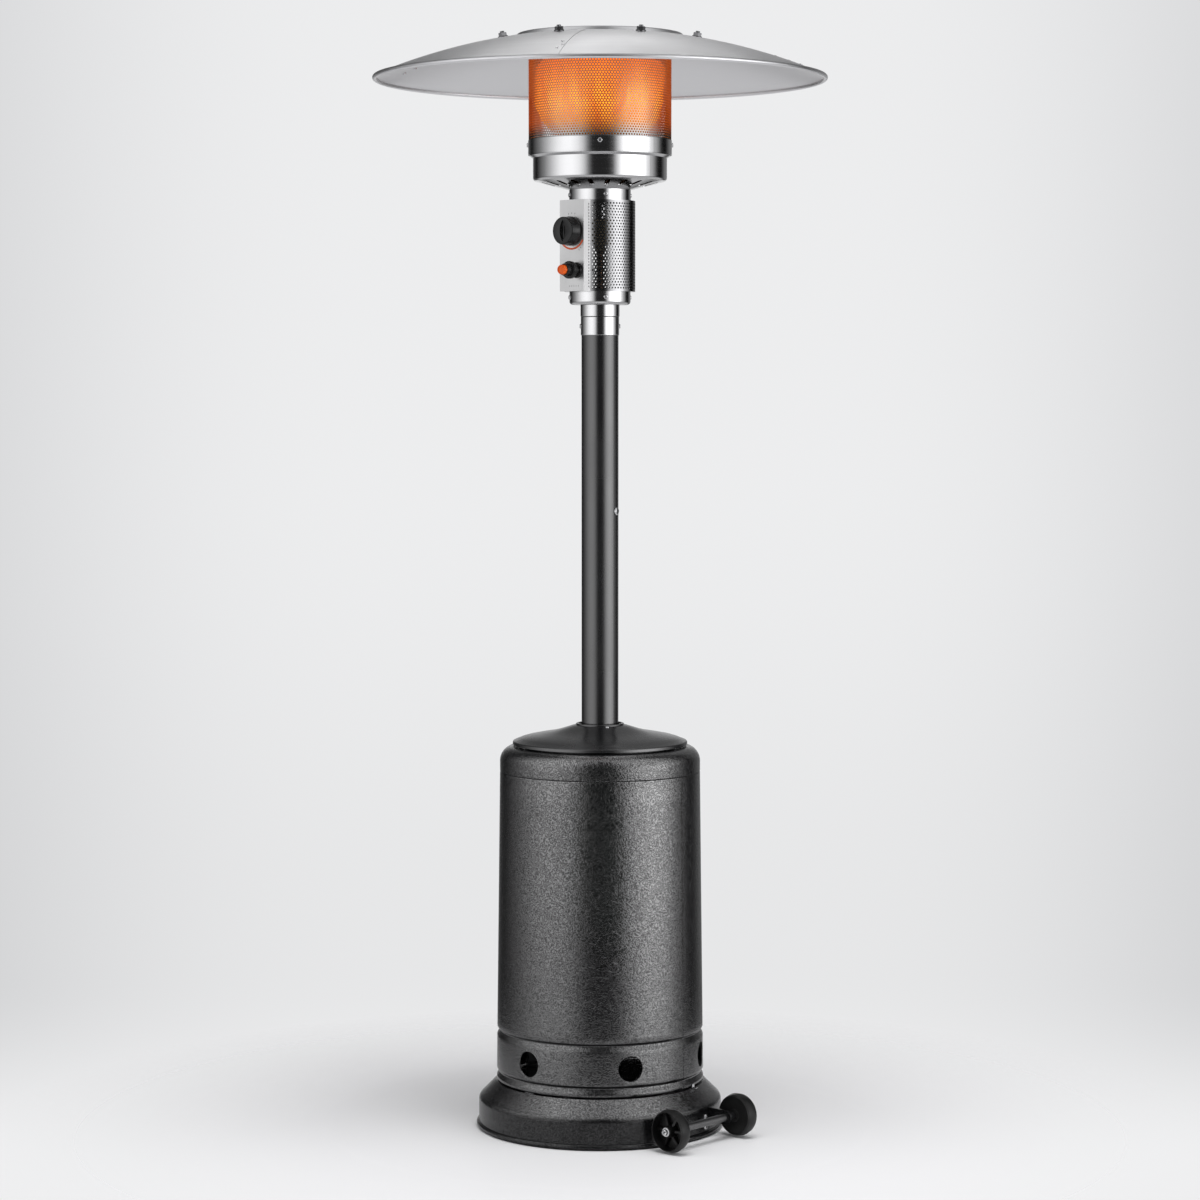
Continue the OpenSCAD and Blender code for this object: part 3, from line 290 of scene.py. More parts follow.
class Net:
    """Adds nodes to a node tree."""

    def __init__(self, tree):
        self.tree = tree

    def put(self, node, socket, value):
        if isinstance(value, bpy.types.NodeSocket):
            self.tree.links.new(value, node.inputs[socket])
        else:
            node.inputs[socket].default_value = value

    def node(self, kind, out=0, settings=(), **inputs):
        """Adds a node and gives one output. An input goes by its name, or by its number as i0, i1 or i2."""
        made = self.tree.nodes.new("ShaderNode" + kind)
        for key, value in settings:
            setattr(made, key, value)
        for socket, value in inputs.items():
            numbered = socket[0] == "i" and socket[1:].isdigit()
            self.put(made, int(socket[1:]) if numbered else socket.replace("_", " "), value)
        return made.outputs[out]

    def math(self, operation, a, b=0.0):
        return self.node("Math", settings=[("operation", operation)], i0=a, i1=b)

    def vector(self, operation, a, b=(0, 0, 0), out=0):
        return self.node("VectorMath", out, [("operation", operation)], i0=a, i1=b)

    def height_in(self, vector):
        return self.node("SeparateXYZ", Z, Vector=vector)

    def span(self, value, low, high, to_low, to_high, kind="LINEAR"):
        """Maps a value from one range to another, and keeps it inside that."""
        settings = [("interpolation_type", kind), ("clamp", True)]
        ranges = {"From_Min": low, "From_Max": high, "To_Min": to_low, "To_Max": to_high}
        return self.node("MapRange", 0, settings, Value=value, **ranges)

    def blend(self, factor, a, b):
        """Mixes two colours, each a socket or three numbers."""
        made = self.tree.nodes.new("ShaderNodeMix")
        made.data_type = "RGBA"
        self.put(made, MIX_FACTOR, factor)
        for index, value in zip(MIX_COLORS, (a, b)):
            self.put(made, index, value if isinstance(value, bpy.types.NodeSocket) else (*value, 1.0))
        return made.outputs[MIX_RESULT]


class Paint(Net):
    """A node material. Constants go straight on the shader's sockets."""

    def __init__(self, name, color, metallic=0.0, roughness=0.5, **sockets):
        self.material = bpy.data.materials.new(name)
        self.material.use_nodes = True
        super().__init__(self.material.node_tree)
        self.shader = self.tree.nodes["Principled BSDF"]
        self.normal = None
        self.set(Base_Color=(*color, 1.0), Metallic=metallic, Roughness=roughness, **sockets)

    def set(self, **sockets):
        for socket, value in sockets.items():
            self.put(self.shader, socket.replace("_", " "), value)
        return self

    def place(self, scale=(1, 1, 1)):
        """Object coordinates, in metres, stretched."""
        at = self.node("TexCoord", "Object")
        return self.node("Mapping", Vector=at, Scale=Vector(scale))

    def noise(self, vector, scale, detail=3.0, roughness=0.5):
        return self.node("TexNoise", Vector=vector, Scale=scale, Detail=detail, Roughness=roughness)

    def bump(self, height, strength, distance):
        """Adds a bump on top of those before it."""
        before = {"Normal": self.normal} if self.normal else {}
        self.normal = self.node("Bump", Strength=strength, Distance=distance, Height=height, **before)
        return self.set(Normal=self.normal)


def shade(color, by, plus=0.0):
    """A colour made darker or paler."""
    return tuple(min(1.0, c * by + plus) for c in color)


def radius_of(paint):
    """Distance from the post axis, in metres."""
    flat = paint.vector("MULTIPLY", paint.node("TexCoord", "Object"), (1, 1, 0))
    return paint.vector("LENGTH", flat, out="Value")


def height_of(paint):
    """Height above the floor, in metres."""
    return paint.height_in(paint.node("TexCoord", "Object"))


DRAWN = (6, 6, 900)  # stretches noise into lines that run round the post
RINGS_PER_M, RING_DRIFT = 1500.0, 5.0


def hammered(name, color, foot=None):
    """Hammer-finish paint: worm-like ridges 3 to 5 mm apart with a fine grain. Its gloss is cut where it
    faces down, as painted shade, and raised where it faces up, as a painted highlight.

    foot is two heights in metres, and the share of gloss left below the lower one: painted shade, darker
    towards the bottom."""
    p = Paint(name, color, roughness=0.24, IOR=2.05)
    at = p.place()
    field = p.noise(at, scale=42.0, detail=3.0, roughness=0.55)
    worms = p.math("SINE", p.math("MULTIPLY", field, 90.0))
    dents = p.noise(at, scale=260.0, detail=2.0)
    grain = p.noise(at, scale=500.0, detail=2.0)
    p.bump(worms, strength=1.0, distance=0.00006)
    p.bump(dents, strength=1.0, distance=0.00016)
    p.bump(grain, strength=0.2, distance=0.0002)
    ridges = p.span(worms, -1.0, 1.0, 0.0, 1.0)
    p.set(Base_Color=p.blend(ridges, shade(color, 0.3), shade(color, 1.6)))
    p.set(Roughness=p.span(dents, 0.3, 0.7, 0.17, 0.25))
    gloss = p.span(worms, -1.0, 1.0, 0.28, 0.76)
    # Painted shade and painted highlight: gloss is cut on faces that look down and raised on faces that look
    # up.
    facing = p.height_in(p.node("NewGeometry", "True Normal"))
    down = p.span(facing, -0.6, -0.15, 0.1, 1.0)
    up = p.span(facing, 0.15, 0.42, 1.0, 1.7)
    gloss = p.math("MULTIPLY", p.math("MULTIPLY", gloss, down), up)
    # Painted shade: less gloss below the foot heights, so the lower part looks darker.
    if foot:
        gloss = p.math("MULTIPLY", gloss, p.span(height_of(p), *foot, 1.0))
    p.set(Specular_IOR_Level=gloss)
    return p.material


def coated(name, color, low, high, peel=0.16):
    """Smooth powder coat with a fine orange peel, its roughness from low to high."""
    p = Paint(name, color, roughness=(low + high) / 2, IOR=1.95)
    at = p.place()
    fine = p.noise(at, scale=520.0, detail=2.0)
    broad = p.noise(at, scale=9.0, detail=3.0)
    p.bump(fine, peel, distance=0.0005)
    p.set(Roughness=p.span(broad, 0.35, 0.65, low, high))
    p.set(Base_Color=p.blend(p.span(broad, 0.3, 0.7, 0.0, 1.0), color, shade(color, 1.35)))
    return p.material


def brushed(name, color, low, high, scale=DRAWN, line=0.05):
    """Bare metal with drawn lines, its roughness from low to high: scale stretches the lines."""
    p = Paint(name, color, metallic=1.0, roughness=(low + high) / 2)
    lines = p.noise(p.place(scale), scale=1.0, detail=4.0, roughness=0.65)
    smudge = p.noise(p.place(), scale=14.0, detail=3.0)
    both = p.math("ADD", p.math("MULTIPLY", lines, 0.7), p.math("MULTIPLY", smudge, 0.3))
    p.set(Roughness=p.span(both, 0.35, 0.65, low, high))
    p.set(Base_Color=p.blend(p.span(smudge, 0.35, 0.7, 0.0, 1.0), color, shade(color, 0.93)))
    p.bump(lines, line, distance=0.0002)
    return p.material


def spun(name, color, low, high):
    """Sheet spun on a lathe: fine rings round the post axis, and an underside coloured paler as painted
    light.
    """
    p = Paint(name, color, metallic=1.0, roughness=(low + high) / 2)
    parts = p.tree.nodes.new("ShaderNodeSeparateXYZ")
    p.put(parts, "Vector", p.node("TexCoord", "Object"))
    rings = p.math("MULTIPLY", radius_of(p), RINGS_PER_M)
    drift_x, drift_y = (p.math("MULTIPLY", parts.outputs[axis], RING_DRIFT) for axis in (X, Y))
    lines = p.noise(p.node("CombineXYZ", X=rings, Y=drift_x, Z=drift_y), scale=1.0, detail=3.0, roughness=0.6)
    smudge = p.noise(p.place(), scale=7.0, detail=3.0)
    both = p.math("ADD", p.math("MULTIPLY", lines, 0.6), p.math("MULTIPLY", smudge, 0.4))
    p.set(Roughness=p.span(both, 0.35, 0.65, low, high))
    outside = p.blend(p.span(both, 0.35, 0.65, 0.0, 1.0), color, shade(color, 0.9))
    # Painted light: where the sheet faces down its colour is made paler.
    under = p.span(p.height_in(p.node("NewGeometry", "Normal")), -0.1, 0.1, 1.0, 0.0)
    p.set(Base_Color=p.blend(under, outside, shade(color, 1.2)))
    p.bump(lines, strength=0.05, distance=0.0002)
    return p.material


def moulded(name, color, low, high, grain=0.12, gloss=0.5):
    """Moulded plastic with a fine spark-eroded grain, its roughness from low to high."""
    p = Paint(name, color, roughness=(low + high) / 2, Specular_IOR_Level=gloss)
    fine = p.noise(p.place(), scale=1400.0, detail=2.0)
    broad = p.noise(p.place(), scale=30.0, detail=2.0)
    p.bump(fine, grain, distance=0.0002)
    p.set(Roughness=p.span(broad, 0.35, 0.65, low, high))
    worn = shade(color, 1.25, 0.003)
    p.set(Base_Color=p.blend(p.span(broad, 0.35, 0.7, 0.0, 1.0), color, worn))
    return p.material


def soot_and_shade_lined(name, color):
    """Polished sheet whose inside, which faces the post axis or upwards, is painted black: painted shade that
    also stands for soot.
    """
    soot_and_shade_black = (0.012, 0.01, 0.009)
    p = Paint(name, color, metallic=1.0, roughness=0.14)
    normal = p.node("NewGeometry", "Normal")
    flat = p.vector("MULTIPLY", p.node("NewGeometry", "Position"), (1, 1, 0))
    facing = p.vector("DOT_PRODUCT", normal, p.vector("NORMALIZE", flat), "Value")
    down = p.math("MULTIPLY", p.height_in(normal), -1.0)
    outside = p.span(p.math("MAXIMUM", facing, down), 0.02, 0.12, 0.0, 1.0)
    lines = p.noise(p.place(DRAWN), scale=1.0, detail=4.0, roughness=0.65)
    # Painted shade that also stands for soot: the inside is coloured black.
    p.set(Base_Color=p.blend(outside, soot_and_shade_black, color))
    dull, drawn = p.span(outside, 0.0, 1.0, 0.6, 0.06), p.span(lines, 0.35, 0.65, 0.04, 0.11)
    p.set(Roughness=p.math("ADD", dull, drawn))
    p.bump(lines, strength=0.05, distance=0.0002)
    return p.material


def glowing_sheet(name):
    """Perforated stainless steel, tinted by heat and glowing dull red away from its lower edge."""
    cool, tinted = (0.3, 0.3, 0.3), (0.32, 0.22, 0.14)
    p = Paint(name, (0.6, 0.58, 0.56), metallic=1.0, roughness=0.3)
    hot = p.span(height_of(p), HOT_LOW - 0.004, HOT_LOW + 0.022, 0.0, 1.0)
    patch = p.noise(p.place((1, 1, 0.5)), scale=26.0, detail=3.0)
    p.set(Base_Color=p.blend(hot, cool, tinted), Specular_Tint=(0.35, 0.22, 0.15, 1.0))
    glow = p.math("MULTIPLY", hot, p.span(patch, 0.3, 0.7, 0.2, 0.28))
    p.set(Emission_Color=(1.0, 0.14, 0.03, 1.0), Emission_Strength=glow)
    p.set(Roughness=p.span(patch, 0.3, 0.7, 0.24, 0.34))
    return p.material


def flame(name):
    """Burning gas: nothing at its foot, yellow orange half way up, deep orange at the top."""
    yellow, orange, red = (1.0, 0.33, 0.02), (1.0, 0.18, 0.012), (1.0, 0.13, 0.009)
    p = Paint(name, (0.0, 0.0, 0.0), roughness=1.0, Specular_IOR_Level=0.0)
    z = height_of(p)
    lick = p.noise(p.place((1, 1, 0.25)), scale=30.0, detail=4.0, roughness=0.6)
    half_way = (HOT_LOW + HOT_TOP) / 2
    tone = p.blend(p.span(z, half_way - 0.02, HOT_TOP, 0.0, 1.0), yellow, red)
    p.set(Emission_Color=p.blend(p.span(lick, 0.3, 0.55, 0.0, 1.0), orange, tone))
    rise = p.span(z, HOT_LOW - 0.006, HOT_LOW + 0.055, 0.0, 1.0)
    rise = p.math("MULTIPLY", rise, p.span(z, half_way, HOT_TOP, 1.0, 0.65))
    p.set(Emission_Strength=p.math("MULTIPLY", rise, p.span(lick, 0.3, 0.7, 1.5, 2.3)))
    return p.material


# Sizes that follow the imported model

PANEL_Y = -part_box("control_panel")[0].y / MM
AXLE_X, AXLE_Z = middle("axle", X), middle("axle", Z)
WHEEL_Y, WHEEL_W, WHEEL_R = middle("wheel_2", Y), extent("wheel_2", Y), extent("wheel_2", Z) / 2
KNOB_Z = middle("knob", Z)
IGNITER_X, IGNITER_Z = middle("igniter_button", X), middle("igniter_button", Z)
SCREEN_R, SCREEN_Z0, SCREEN_Z1 = span("emitter_screen")
BAND_R, _, BAND_Z1 = span("emitter_band")
SHROUD_R, SHROUD_Z0, SHROUD_Z1 = span("control_shroud")
COLLAR_R, COLLAR_Z0, COLLAR_Z1 = span("post_collar")
HOUSING_R0, HOUSING_Z0, HOUSING_Z1 = span("housing_shell")
SHOULDER_R, _, SHOULDER_TOP = span("housing_shoulder")
LID_R, LID_LOW, _ = span("lid")
POST_R, _, _ = span("post")
RIM_R, RIM_LOW, CROWN_TOP = span("reflector")
DOME_R = 1150.0
APEX_Z = CROWN_TOP - 1.0
CROWN_R = 165.0
PANEL_HALF = 32.5
SHEET_T = 1.2
SCREEN_T = DOME_T = 1.0
HOT_LOW = (BAND_Z1 + 10) * MM
HOT_TOP = SCREEN_Z1 * MM

# Finishes

BLACK = (0.006, 0.006, 0.0064)
STEEL = (0.57, 0.57, 0.575)
EVEN, FINE = (60, 60, 60), (80, 80, 80)

# The foot heights paint shade: the housing and the base pan lose gloss towards the bottom.
HAMMERED = hammered("hammered_black", BLACK, (0.1, 0.5, 0.72))
HAMMERED_BASE = hammered("hammered_base", BLACK, (0.058, 0.066, 0.25))
SATIN = coated("satin_black", (0.006, 0.006, 0.0065), 0.23, 0.29)
FRAME_PAINT = coated("frame_black", (0.02, 0.02, 0.021), 0.42, 0.55)
CAST = hammered("cast_ballast", (0.05, 0.05, 0.052))
STAINLESS = brushed("stainless", STEEL, 0.1, 0.18)
SOOT_AND_SHADE_STEEL = soot_and_shade_lined("soot_and_shade_stainless", STEEL)
PANEL = brushed("panel_steel", (0.62, 0.62, 0.62), 0.34, 0.46, DRAWN[::-1], 0.04)
# Painted shade: the shroud's inside is coloured black so its holes look dark.
PERFORATED = soot_and_shade_lined("perforated_stainless", (0.31, 0.31, 0.315))
DOME = spun("reflector_sheet", (0.68, 0.68, 0.69), 0.3, 0.42)
FASTENER = brushed("fastener_steel", (0.66, 0.66, 0.67), 0.18, 0.3, EVEN)
DARK_STEEL = brushed("darkened_steel", (0.16, 0.16, 0.165), 0.2, 0.32, EVEN)
BRASS = brushed("brass", (0.14, 0.115, 0.08), 0.35, 0.5, FINE)
COPPER = brushed("copper", (0.16, 0.1, 0.07), 0.35, 0.5, FINE)
BLACK_PLASTIC = moulded("black_plastic", (0.005, 0.005, 0.0053), 0.2, 0.28, gloss=0.34)
WHEEL_PLASTIC = moulded("wheel_plastic", (0.006, 0.006, 0.006), 0.34, 0.44, 0.2, 0.28)
ORANGE_PLASTIC = moulded("orange_plastic", (0.84, 0.12, 0.008), 0.28, 0.36, 0.05, 0.25)
ORANGE_PRINT = moulded("orange_print", (0.72, 0.1, 0.02), 0.45, 0.55, 0.03)
# Print, and black discs that stand for small holes as painted shade.
BLACK_PRINT_AND_HOLE_SHADE = moulded("black_print_and_hole_shade", (0.03, 0.03, 0.032), 0.45, 0.55, 0.03)
GLOWING = glowing_sheet("glowing_screen")
FLAME = flame("flame")
SCORCHED = brushed("scorched_steel", (0.2, 0.16, 0.14), 0.35, 0.5, (40, 40, 40))
CERAMIC = moulded("ceramic", (0.75, 0.72, 0.66), 0.2, 0.3, 0.03)

FINISH = {
    HAMMERED: ["housing_shell", "housing_shoulder"],
    HAMMERED_BASE: ["base_pan", "wheel_bracket"],
    SATIN: ["lid", "post", "axle"],
    FRAME_PAINT: ["support_leg_1", "support_leg_2", "support_leg_3", "post_socket", "tilt_switch"],
    CAST: ["ballast_plate"],
    STAINLESS: ["post_collar", "control_cup", "neck_ring", "emitter_band"],
    PERFORATED: ["control_shroud"],
    SOOT_AND_SHADE_STEEL: ["burner_bowl"],
    PANEL: ["control_panel"],
    DOME: ["reflector"],
    FASTENER: [
        "leg_bolts", "post_screw", "pipe_clip", "bracket_screws", "axle_bolts", "collar_screws",
        "cup_screws", "frame_rods", "neck_screws", "band_screws", "burner_tube", "reflector_standoffs",
        "reflector_carrier", "reflector_nuts", "valve_stem",
    ],
    DARK_STEEL: ["locating_lugs"],
    BRASS: ["inlet_fitting", "gas_valve", "pilot_burner"],
    COPPER: ["gas_pipe", "thermocouple"],
    BLACK_PLASTIC: ["knob", "igniter_collar", "igniter_body"],
    WHEEL_PLASTIC: ["wheel_1", "wheel_2"],
    ORANGE_PLASTIC: ["igniter_button"],
    ORANGE_PRINT: ["heat_arc"],
    GLOWING: ["emitter_screen"],
    SCORCHED: ["emitter_cap", "main_burner"],
    CERAMIC: ["igniter_electrode"],
}
for finish, names in FINISH.items():
    for name in names:
        nodes[name].data.materials.clear()
        nodes[name].data.materials.append(finish)


# Housing, lid and reflector

VENTS = 6
VENT_R = 25.0
VENT_Z = HOUSING_Z0 + 58.0
VENT_HALF = 29.5  # half the height of the plain strip that the vents are in
VENT_ROWS = 8
SWAGE_DEPTH, SWAGE_H = 4.4, 7.0
SWAGE_LOW, SWAGE_HIGH = HOUSING_Z0 + 19, HOUSING_Z0 + 103
SEAM_AZIMUTH = 97
CLIP_AZIMUTH, CLIP_HALF = 105, 4.5
BEND_R = 30
MOUTH_R = 150.0
TONGUE_H = 12
LIP_R, LIP_DROP = 3, 7.0
LID_SCREW_AZIMUTH = 58.6
FINE_TURN = 192


def swage(z):
    """Points of a pressed groove round height z, as (depth, height): its lower side is the longer slope."""
    turns = [
        (-1.5, 0.0), (-1.38, 0.04), (-1.2, 0.16), (-0.4, 0.84), (-0.22, 0.96), (0.0, 1.0), (0.12, 0.98),
        (0.25, 0.88), (0.75, 0.18), (0.88, 0.05), (1.0, 0.0),
    ]
    return [(SWAGE_DEPTH * depth, z + SWAGE_H * u) for u, depth in turns]


def housing_outline():
    """Outside of the shell, upwards: a hem, two swages with the vents between them and a broken top edge."""
    taper = (SHOULDER_R - HOUSING_R0) / (HOUSING_Z1 - HOUSING_Z0)
    hem = [(5.0, 0.0), (3.6, 0.8), (1.7, 2.1), (0.5, 3.5), (0.0, 5.2)]
    half = VENT_ROWS // 2
    low, high, steps = HOUSING_Z0 + 120, HOUSING_Z1 - 2, 10
    rows = [(depth, HOUSING_Z0 + rise) for depth, rise in hem]
    rows += swage(SWAGE_LOW)
    rows += [(0.0, VENT_Z + VENT_HALF * k / half) for k in range(-half, half + 1)]
    rows += swage(SWAGE_HIGH)
    rows += [(0.0, low + (high - low) * k / steps) for k in range(steps + 1)]
    rows += [(0.45, HOUSING_Z1 - 0.8), (1.4, HOUSING_Z1 - 0.3)]
    return [(HOUSING_R0 + taper * (z - HOUSING_Z0) - depth, z) for depth, z in rows]


def vented_shell(outline, t, columns=FINE_TURN, half=5):
    """The shell with its round vents, which the grid of faces goes round: half is columns beside a vent."""
    form = Form()
    step = TURN / columns
    first = next(k for k, (_, z) in enumerate(outline) if abs(z - (VENT_Z - VENT_HALF)) < TINY)
    patch = range(first, first + VENT_ROWS)
    vents = [k * columns // VENTS for k in range(VENTS)]
    inside = {(v + d) % columns for v in vents for d in range(-half, half)}
    fillet = 0.9

    def spot(r, z, a):
        form.points.append(Vector((r * math.sin(a), -r * math.cos(a), z)))
        form.points.append(Vector(((r - t) * math.sin(a), -(r - t) * math.cos(a), z)))
        return len(form.points) - 2

    grid = [[spot(r, z, step * i) for i in range(columns)] for r, z in outline]

    def sheet(loop):
        form.faces.append(loop)
        form.faces.append([k + 1 for k in reversed(loop)])

    for k in range(len(outline) - 1):
        for i in range(columns):
            if k in patch and i in inside:
                continue
            j = (i + 1) % columns
            sheet([grid[k][i], grid[k][j], grid[k + 1][j], grid[k + 1][i]])
    for k, up in ((0, False), (len(outline) - 1, True)):
        for i in range(columns):
            a, b = grid[k][i], grid[k][(i + 1) % columns]
            form.faces.append([a, b, b + 1, a + 1] if up else [b, a, a + 1, b + 1])
    r = (outline[first][0] + outline[first + VENT_ROWS][0]) / 2
    for v in vents:
        edge = [(d, 0) for d in range(-half, half)] + [(half, k) for k in range(VENT_ROWS)]
        edge += [(d, VENT_ROWS) for d in range(half, -half, -1)]
        edge += [(-half, k) for k in range(VENT_ROWS, 0, -1)]
        loop = [grid[first + k][(v + d) % columns] for d, k in edge]
        rim, hole = [], []
        for d, k in edge:
            turn = math.atan2(VENT_HALF * (2 * k / VENT_ROWS - 1), d * step * r)
            for ring, reach, sink in ((rim, VENT_R + fillet, 0.0), (hole, VENT_R, 1.0)):
                a = v * step + reach * math.cos(turn) / r
                ring.append(spot(r - sink, VENT_Z + reach * math.sin(turn), a))
        for q in range(len(edge)):
            n = (q + 1) % len(edge)
            sheet([loop[q], loop[n], rim[n], rim[q]])
            sheet([rim[q], rim[n], hole[n], hole[q]])
            form.faces.append([hole[q], hole[n], hole[n] + 1, hole[q] + 1])
    return form


shell = housing_outline()
form = vented_shell(shell, SHEET_T)
form.make("housing_sheet", HAMMERED, "housing", "hammered_black", ["housing_shell"], 40)

form = Form()
section = [(-5.0, -0.2), (-4.4, 0.75), (4.4, 0.75), (5.0, -0.2), (4.0, -0.7), (-4.0, -0.7)]
rings = []
for r, z in shell[4:-2]:
    ring = []
    for across, off in section:
        a = math.radians(SEAM_AZIMUTH) + across / r
        ring.append(((r + off) * math.sin(a), -(r + off) * math.cos(a), z))
    rings.append(ring)
form.stack(rings).make("housing_lock_seam", HAMMERED, "housing", "hammered_black")

bend = SHOULDER_R - BEND_R, SHOULDER_TOP - BEND_R
joggle = SHOULDER_R - 2.7
foot = HOUSING_Z1 + 0.1
turned_in = [(1.4, 0.2), (0.5, 0.6), (0.04, 1.2), (0.0, 1.8)]
shoulder = [(SHOULDER_R - back, foot + rise) for back, rise in turned_in]
shoulder += arc(*bend, BEND_R, 0, 90, 16)
shoulder += [(MOUTH_R + 1, SHOULDER_TOP), (MOUTH_R, SHOULDER_TOP - 0.6), (MOUTH_R, SHOULDER_TOP - SHEET_T)]
shoulder += arc(*bend, BEND_R - SHEET_T, 90, 0, 16)
shoulder += [
    (SHOULDER_R - SHEET_T, foot + 1.2), (joggle, foot - 1.2), (joggle, foot - TONGUE_H),
    (joggle + SHEET_T, foot - TONGUE_H), (joggle + SHEET_T, foot),
]
form = Form().lathe(shoulder, FINE_TURN)
form.make("shoulder_ring", HAMMERED, "housing", "hammered_black", ["housing_shoulder"], 50)

lip_z = LID_LOW + 18
lip = LID_R - LIP_R, lip_z - LIP_R
hill = [
    (0.0, 0), (12.6, 5.2), (22.6, 8.2), (42.6, 12.2), (62.6, 15.6), (76, 18.2), (90, 21.8), (100, 24.9),
    (110, 28.1), (118, 30.6), (124.4, 32.0),
]
over = [(LID_R - LIP_R - back, lip_z + rise) for back, rise in hill]
ring_r, ring_z = over[-1]
ring_top = ring_z + 3
hole_r = POST_R + 5.5
guide = MOUTH_R - 0.6
lid = [(LID_R, lip_z - LIP_DROP), *arc(*lip, LIP_R, 0, 90, 5), *over[1:]]
lid += [
    (ring_r - 0.2, ring_top - 0.8), (ring_r - 1, ring_top), (hole_r + 1, ring_top), (hole_r, ring_top - 0.8),
    (hole_r, ring_z - SHEET_T),
]
lid += [(r, z - SHEET_T) for r, z in over[::-1]]
lid += [*arc(*lip, LIP_R - SHEET_T, 90, 0, 5), (LID_R - SHEET_T, lip_z - LIP_DROP)]
form = Form().lathe(lid, FINE_TURN)
skirt = [(guide - SHEET_T, LID_LOW), (guide, LID_LOW), (guide, lip_z + 7), (guide - SHEET_T, lip_z + 7.2)]
form.lathe(skirt, 128)
form.make("lid_cover", SATIN, "lid", "satin_black", ["lid"], 40)

form = Form()
a = math.radians(LID_SCREW_AZIMUTH)
screw_r = ring_r + 5.5
on_lid = Matrix.Translation((screw_r * math.sin(a), -screw_r * math.cos(a), ring_z - 1.6))
cross_head(form, on_lid, r=3.4, h=2.4)
form.make("lid_screw", FASTENER, "lid", "fastener_steel")

form = Form()
m = out_of(CLIP_AZIMUTH, HOUSING_R0 + 0.8, HOUSING_Z0)
for top, z0, z1, edge in ((7.5, 0, 1.4, 0.3), (0.8, 0.4, 9.0, 0.25)):
    plate = [(-CLIP_HALF, -0.4), (CLIP_HALF, -0.4), (CLIP_HALF, top), (-CLIP_HALF, top)]
    form.slab(plate, z0, z1, edge, m)
form.make("housing_clip", FASTENER, "stand", "fastener_steel")


def dome_z(r):
    return APEX_Z - DOME_R + math.sqrt(DOME_R * DOME_R - r * r)


BEAD_R = 4.5
BEAD_REACH = 1.866 * BEAD_R  # from the rim to where the sheet meets the bead
CROWN_STEPS, DOME_STEPS = 8, 32
SEAMS, SEAM_FIRST, SEAM_STEPS = 4, 32, 24

bead = RIM_R - BEAD_R, RIM_LOW + BEAD_R
join = RIM_R - BEAD_REACH
crown_z = dome_z(CROWN_R) + 6.6
crown = []
for k in range(CROWN_STEPS):
    u = k / CROWN_STEPS
    crown.append((CROWN_R * u, CROWN_TOP + (crown_z - CROWN_TOP) * u ** 2))
slope = [CROWN_R + 3 + (join - CROWN_R - 3) * k / DOME_STEPS for k in range(DOME_STEPS + 1)]
top = [*crown, (CROWN_R - 1.2, crown_z + 0.1), (CROWN_R, crown_z - 0.8), (CROWN_R + 0.8, crown_z - 2.2)]
top += [(r, dome_z(r)) for r in slope]
under = [(r, z - DOME_T) for r, z in crown] + [(CROWN_R - 1, crown_z - DOME_T)]
under += [(r, dome_z(r) - DOME_T) for r in slope]
roll = arc(*bead, BEAD_R, 150, -200, 28)
form = Form().lathe(under[:-1] + roll[::-1][:-1] + top[::-1], 288)
form.make("reflector_dome", DOME, "stand", "reflector_sheet", ["reflector"], 35)

form = Form()
section = [(-7, 0, -0.5), (7, 0, -0.5), (7.0, 0, 0.2), (6.6, 0, 0.7), (-6.6, 0, 0.7), (-7, 0, 0.2)]
for k in range(SEAMS):
    rings = []
    for i in range(SEAM_STEPS + 1):
        m = dome_at(SEAM_FIRST + 360 / SEAMS * k, CROWN_R + 7 + (join - CROWN_R - 10) * i / SEAM_STEPS)
        rings.append([m @ Vector(p) for p in section])
    form.stack(rings[::-1])
form.make("reflector_seams", DOME, "stand", "reflector_sheet")

form = Form()
rivet = [(0, -2.6), (3.4, -2.6), (3.4, -1.0), (2.0, -1.0), (2.0, 0.6), (3.6, 0.6), (3.6, 2.2), (0, 2.2)]
rivet = rounded(rivet, [0, 0.8, 0, 0, 0, 0, 1.1, 0], 3)
for k in range(SEAMS):
    for r, side in ((352, -3), (378, 3), (402, -3)):
        m = dome_at(SEAM_FIRST + 360 / SEAMS * k, r) @ Matrix.Translation((side, 0, 0))
        form.lathe(rivet, 20, m)
form.make("reflector_rivets", FASTENER, "stand", "fastener_steel")


# Perforated sheets


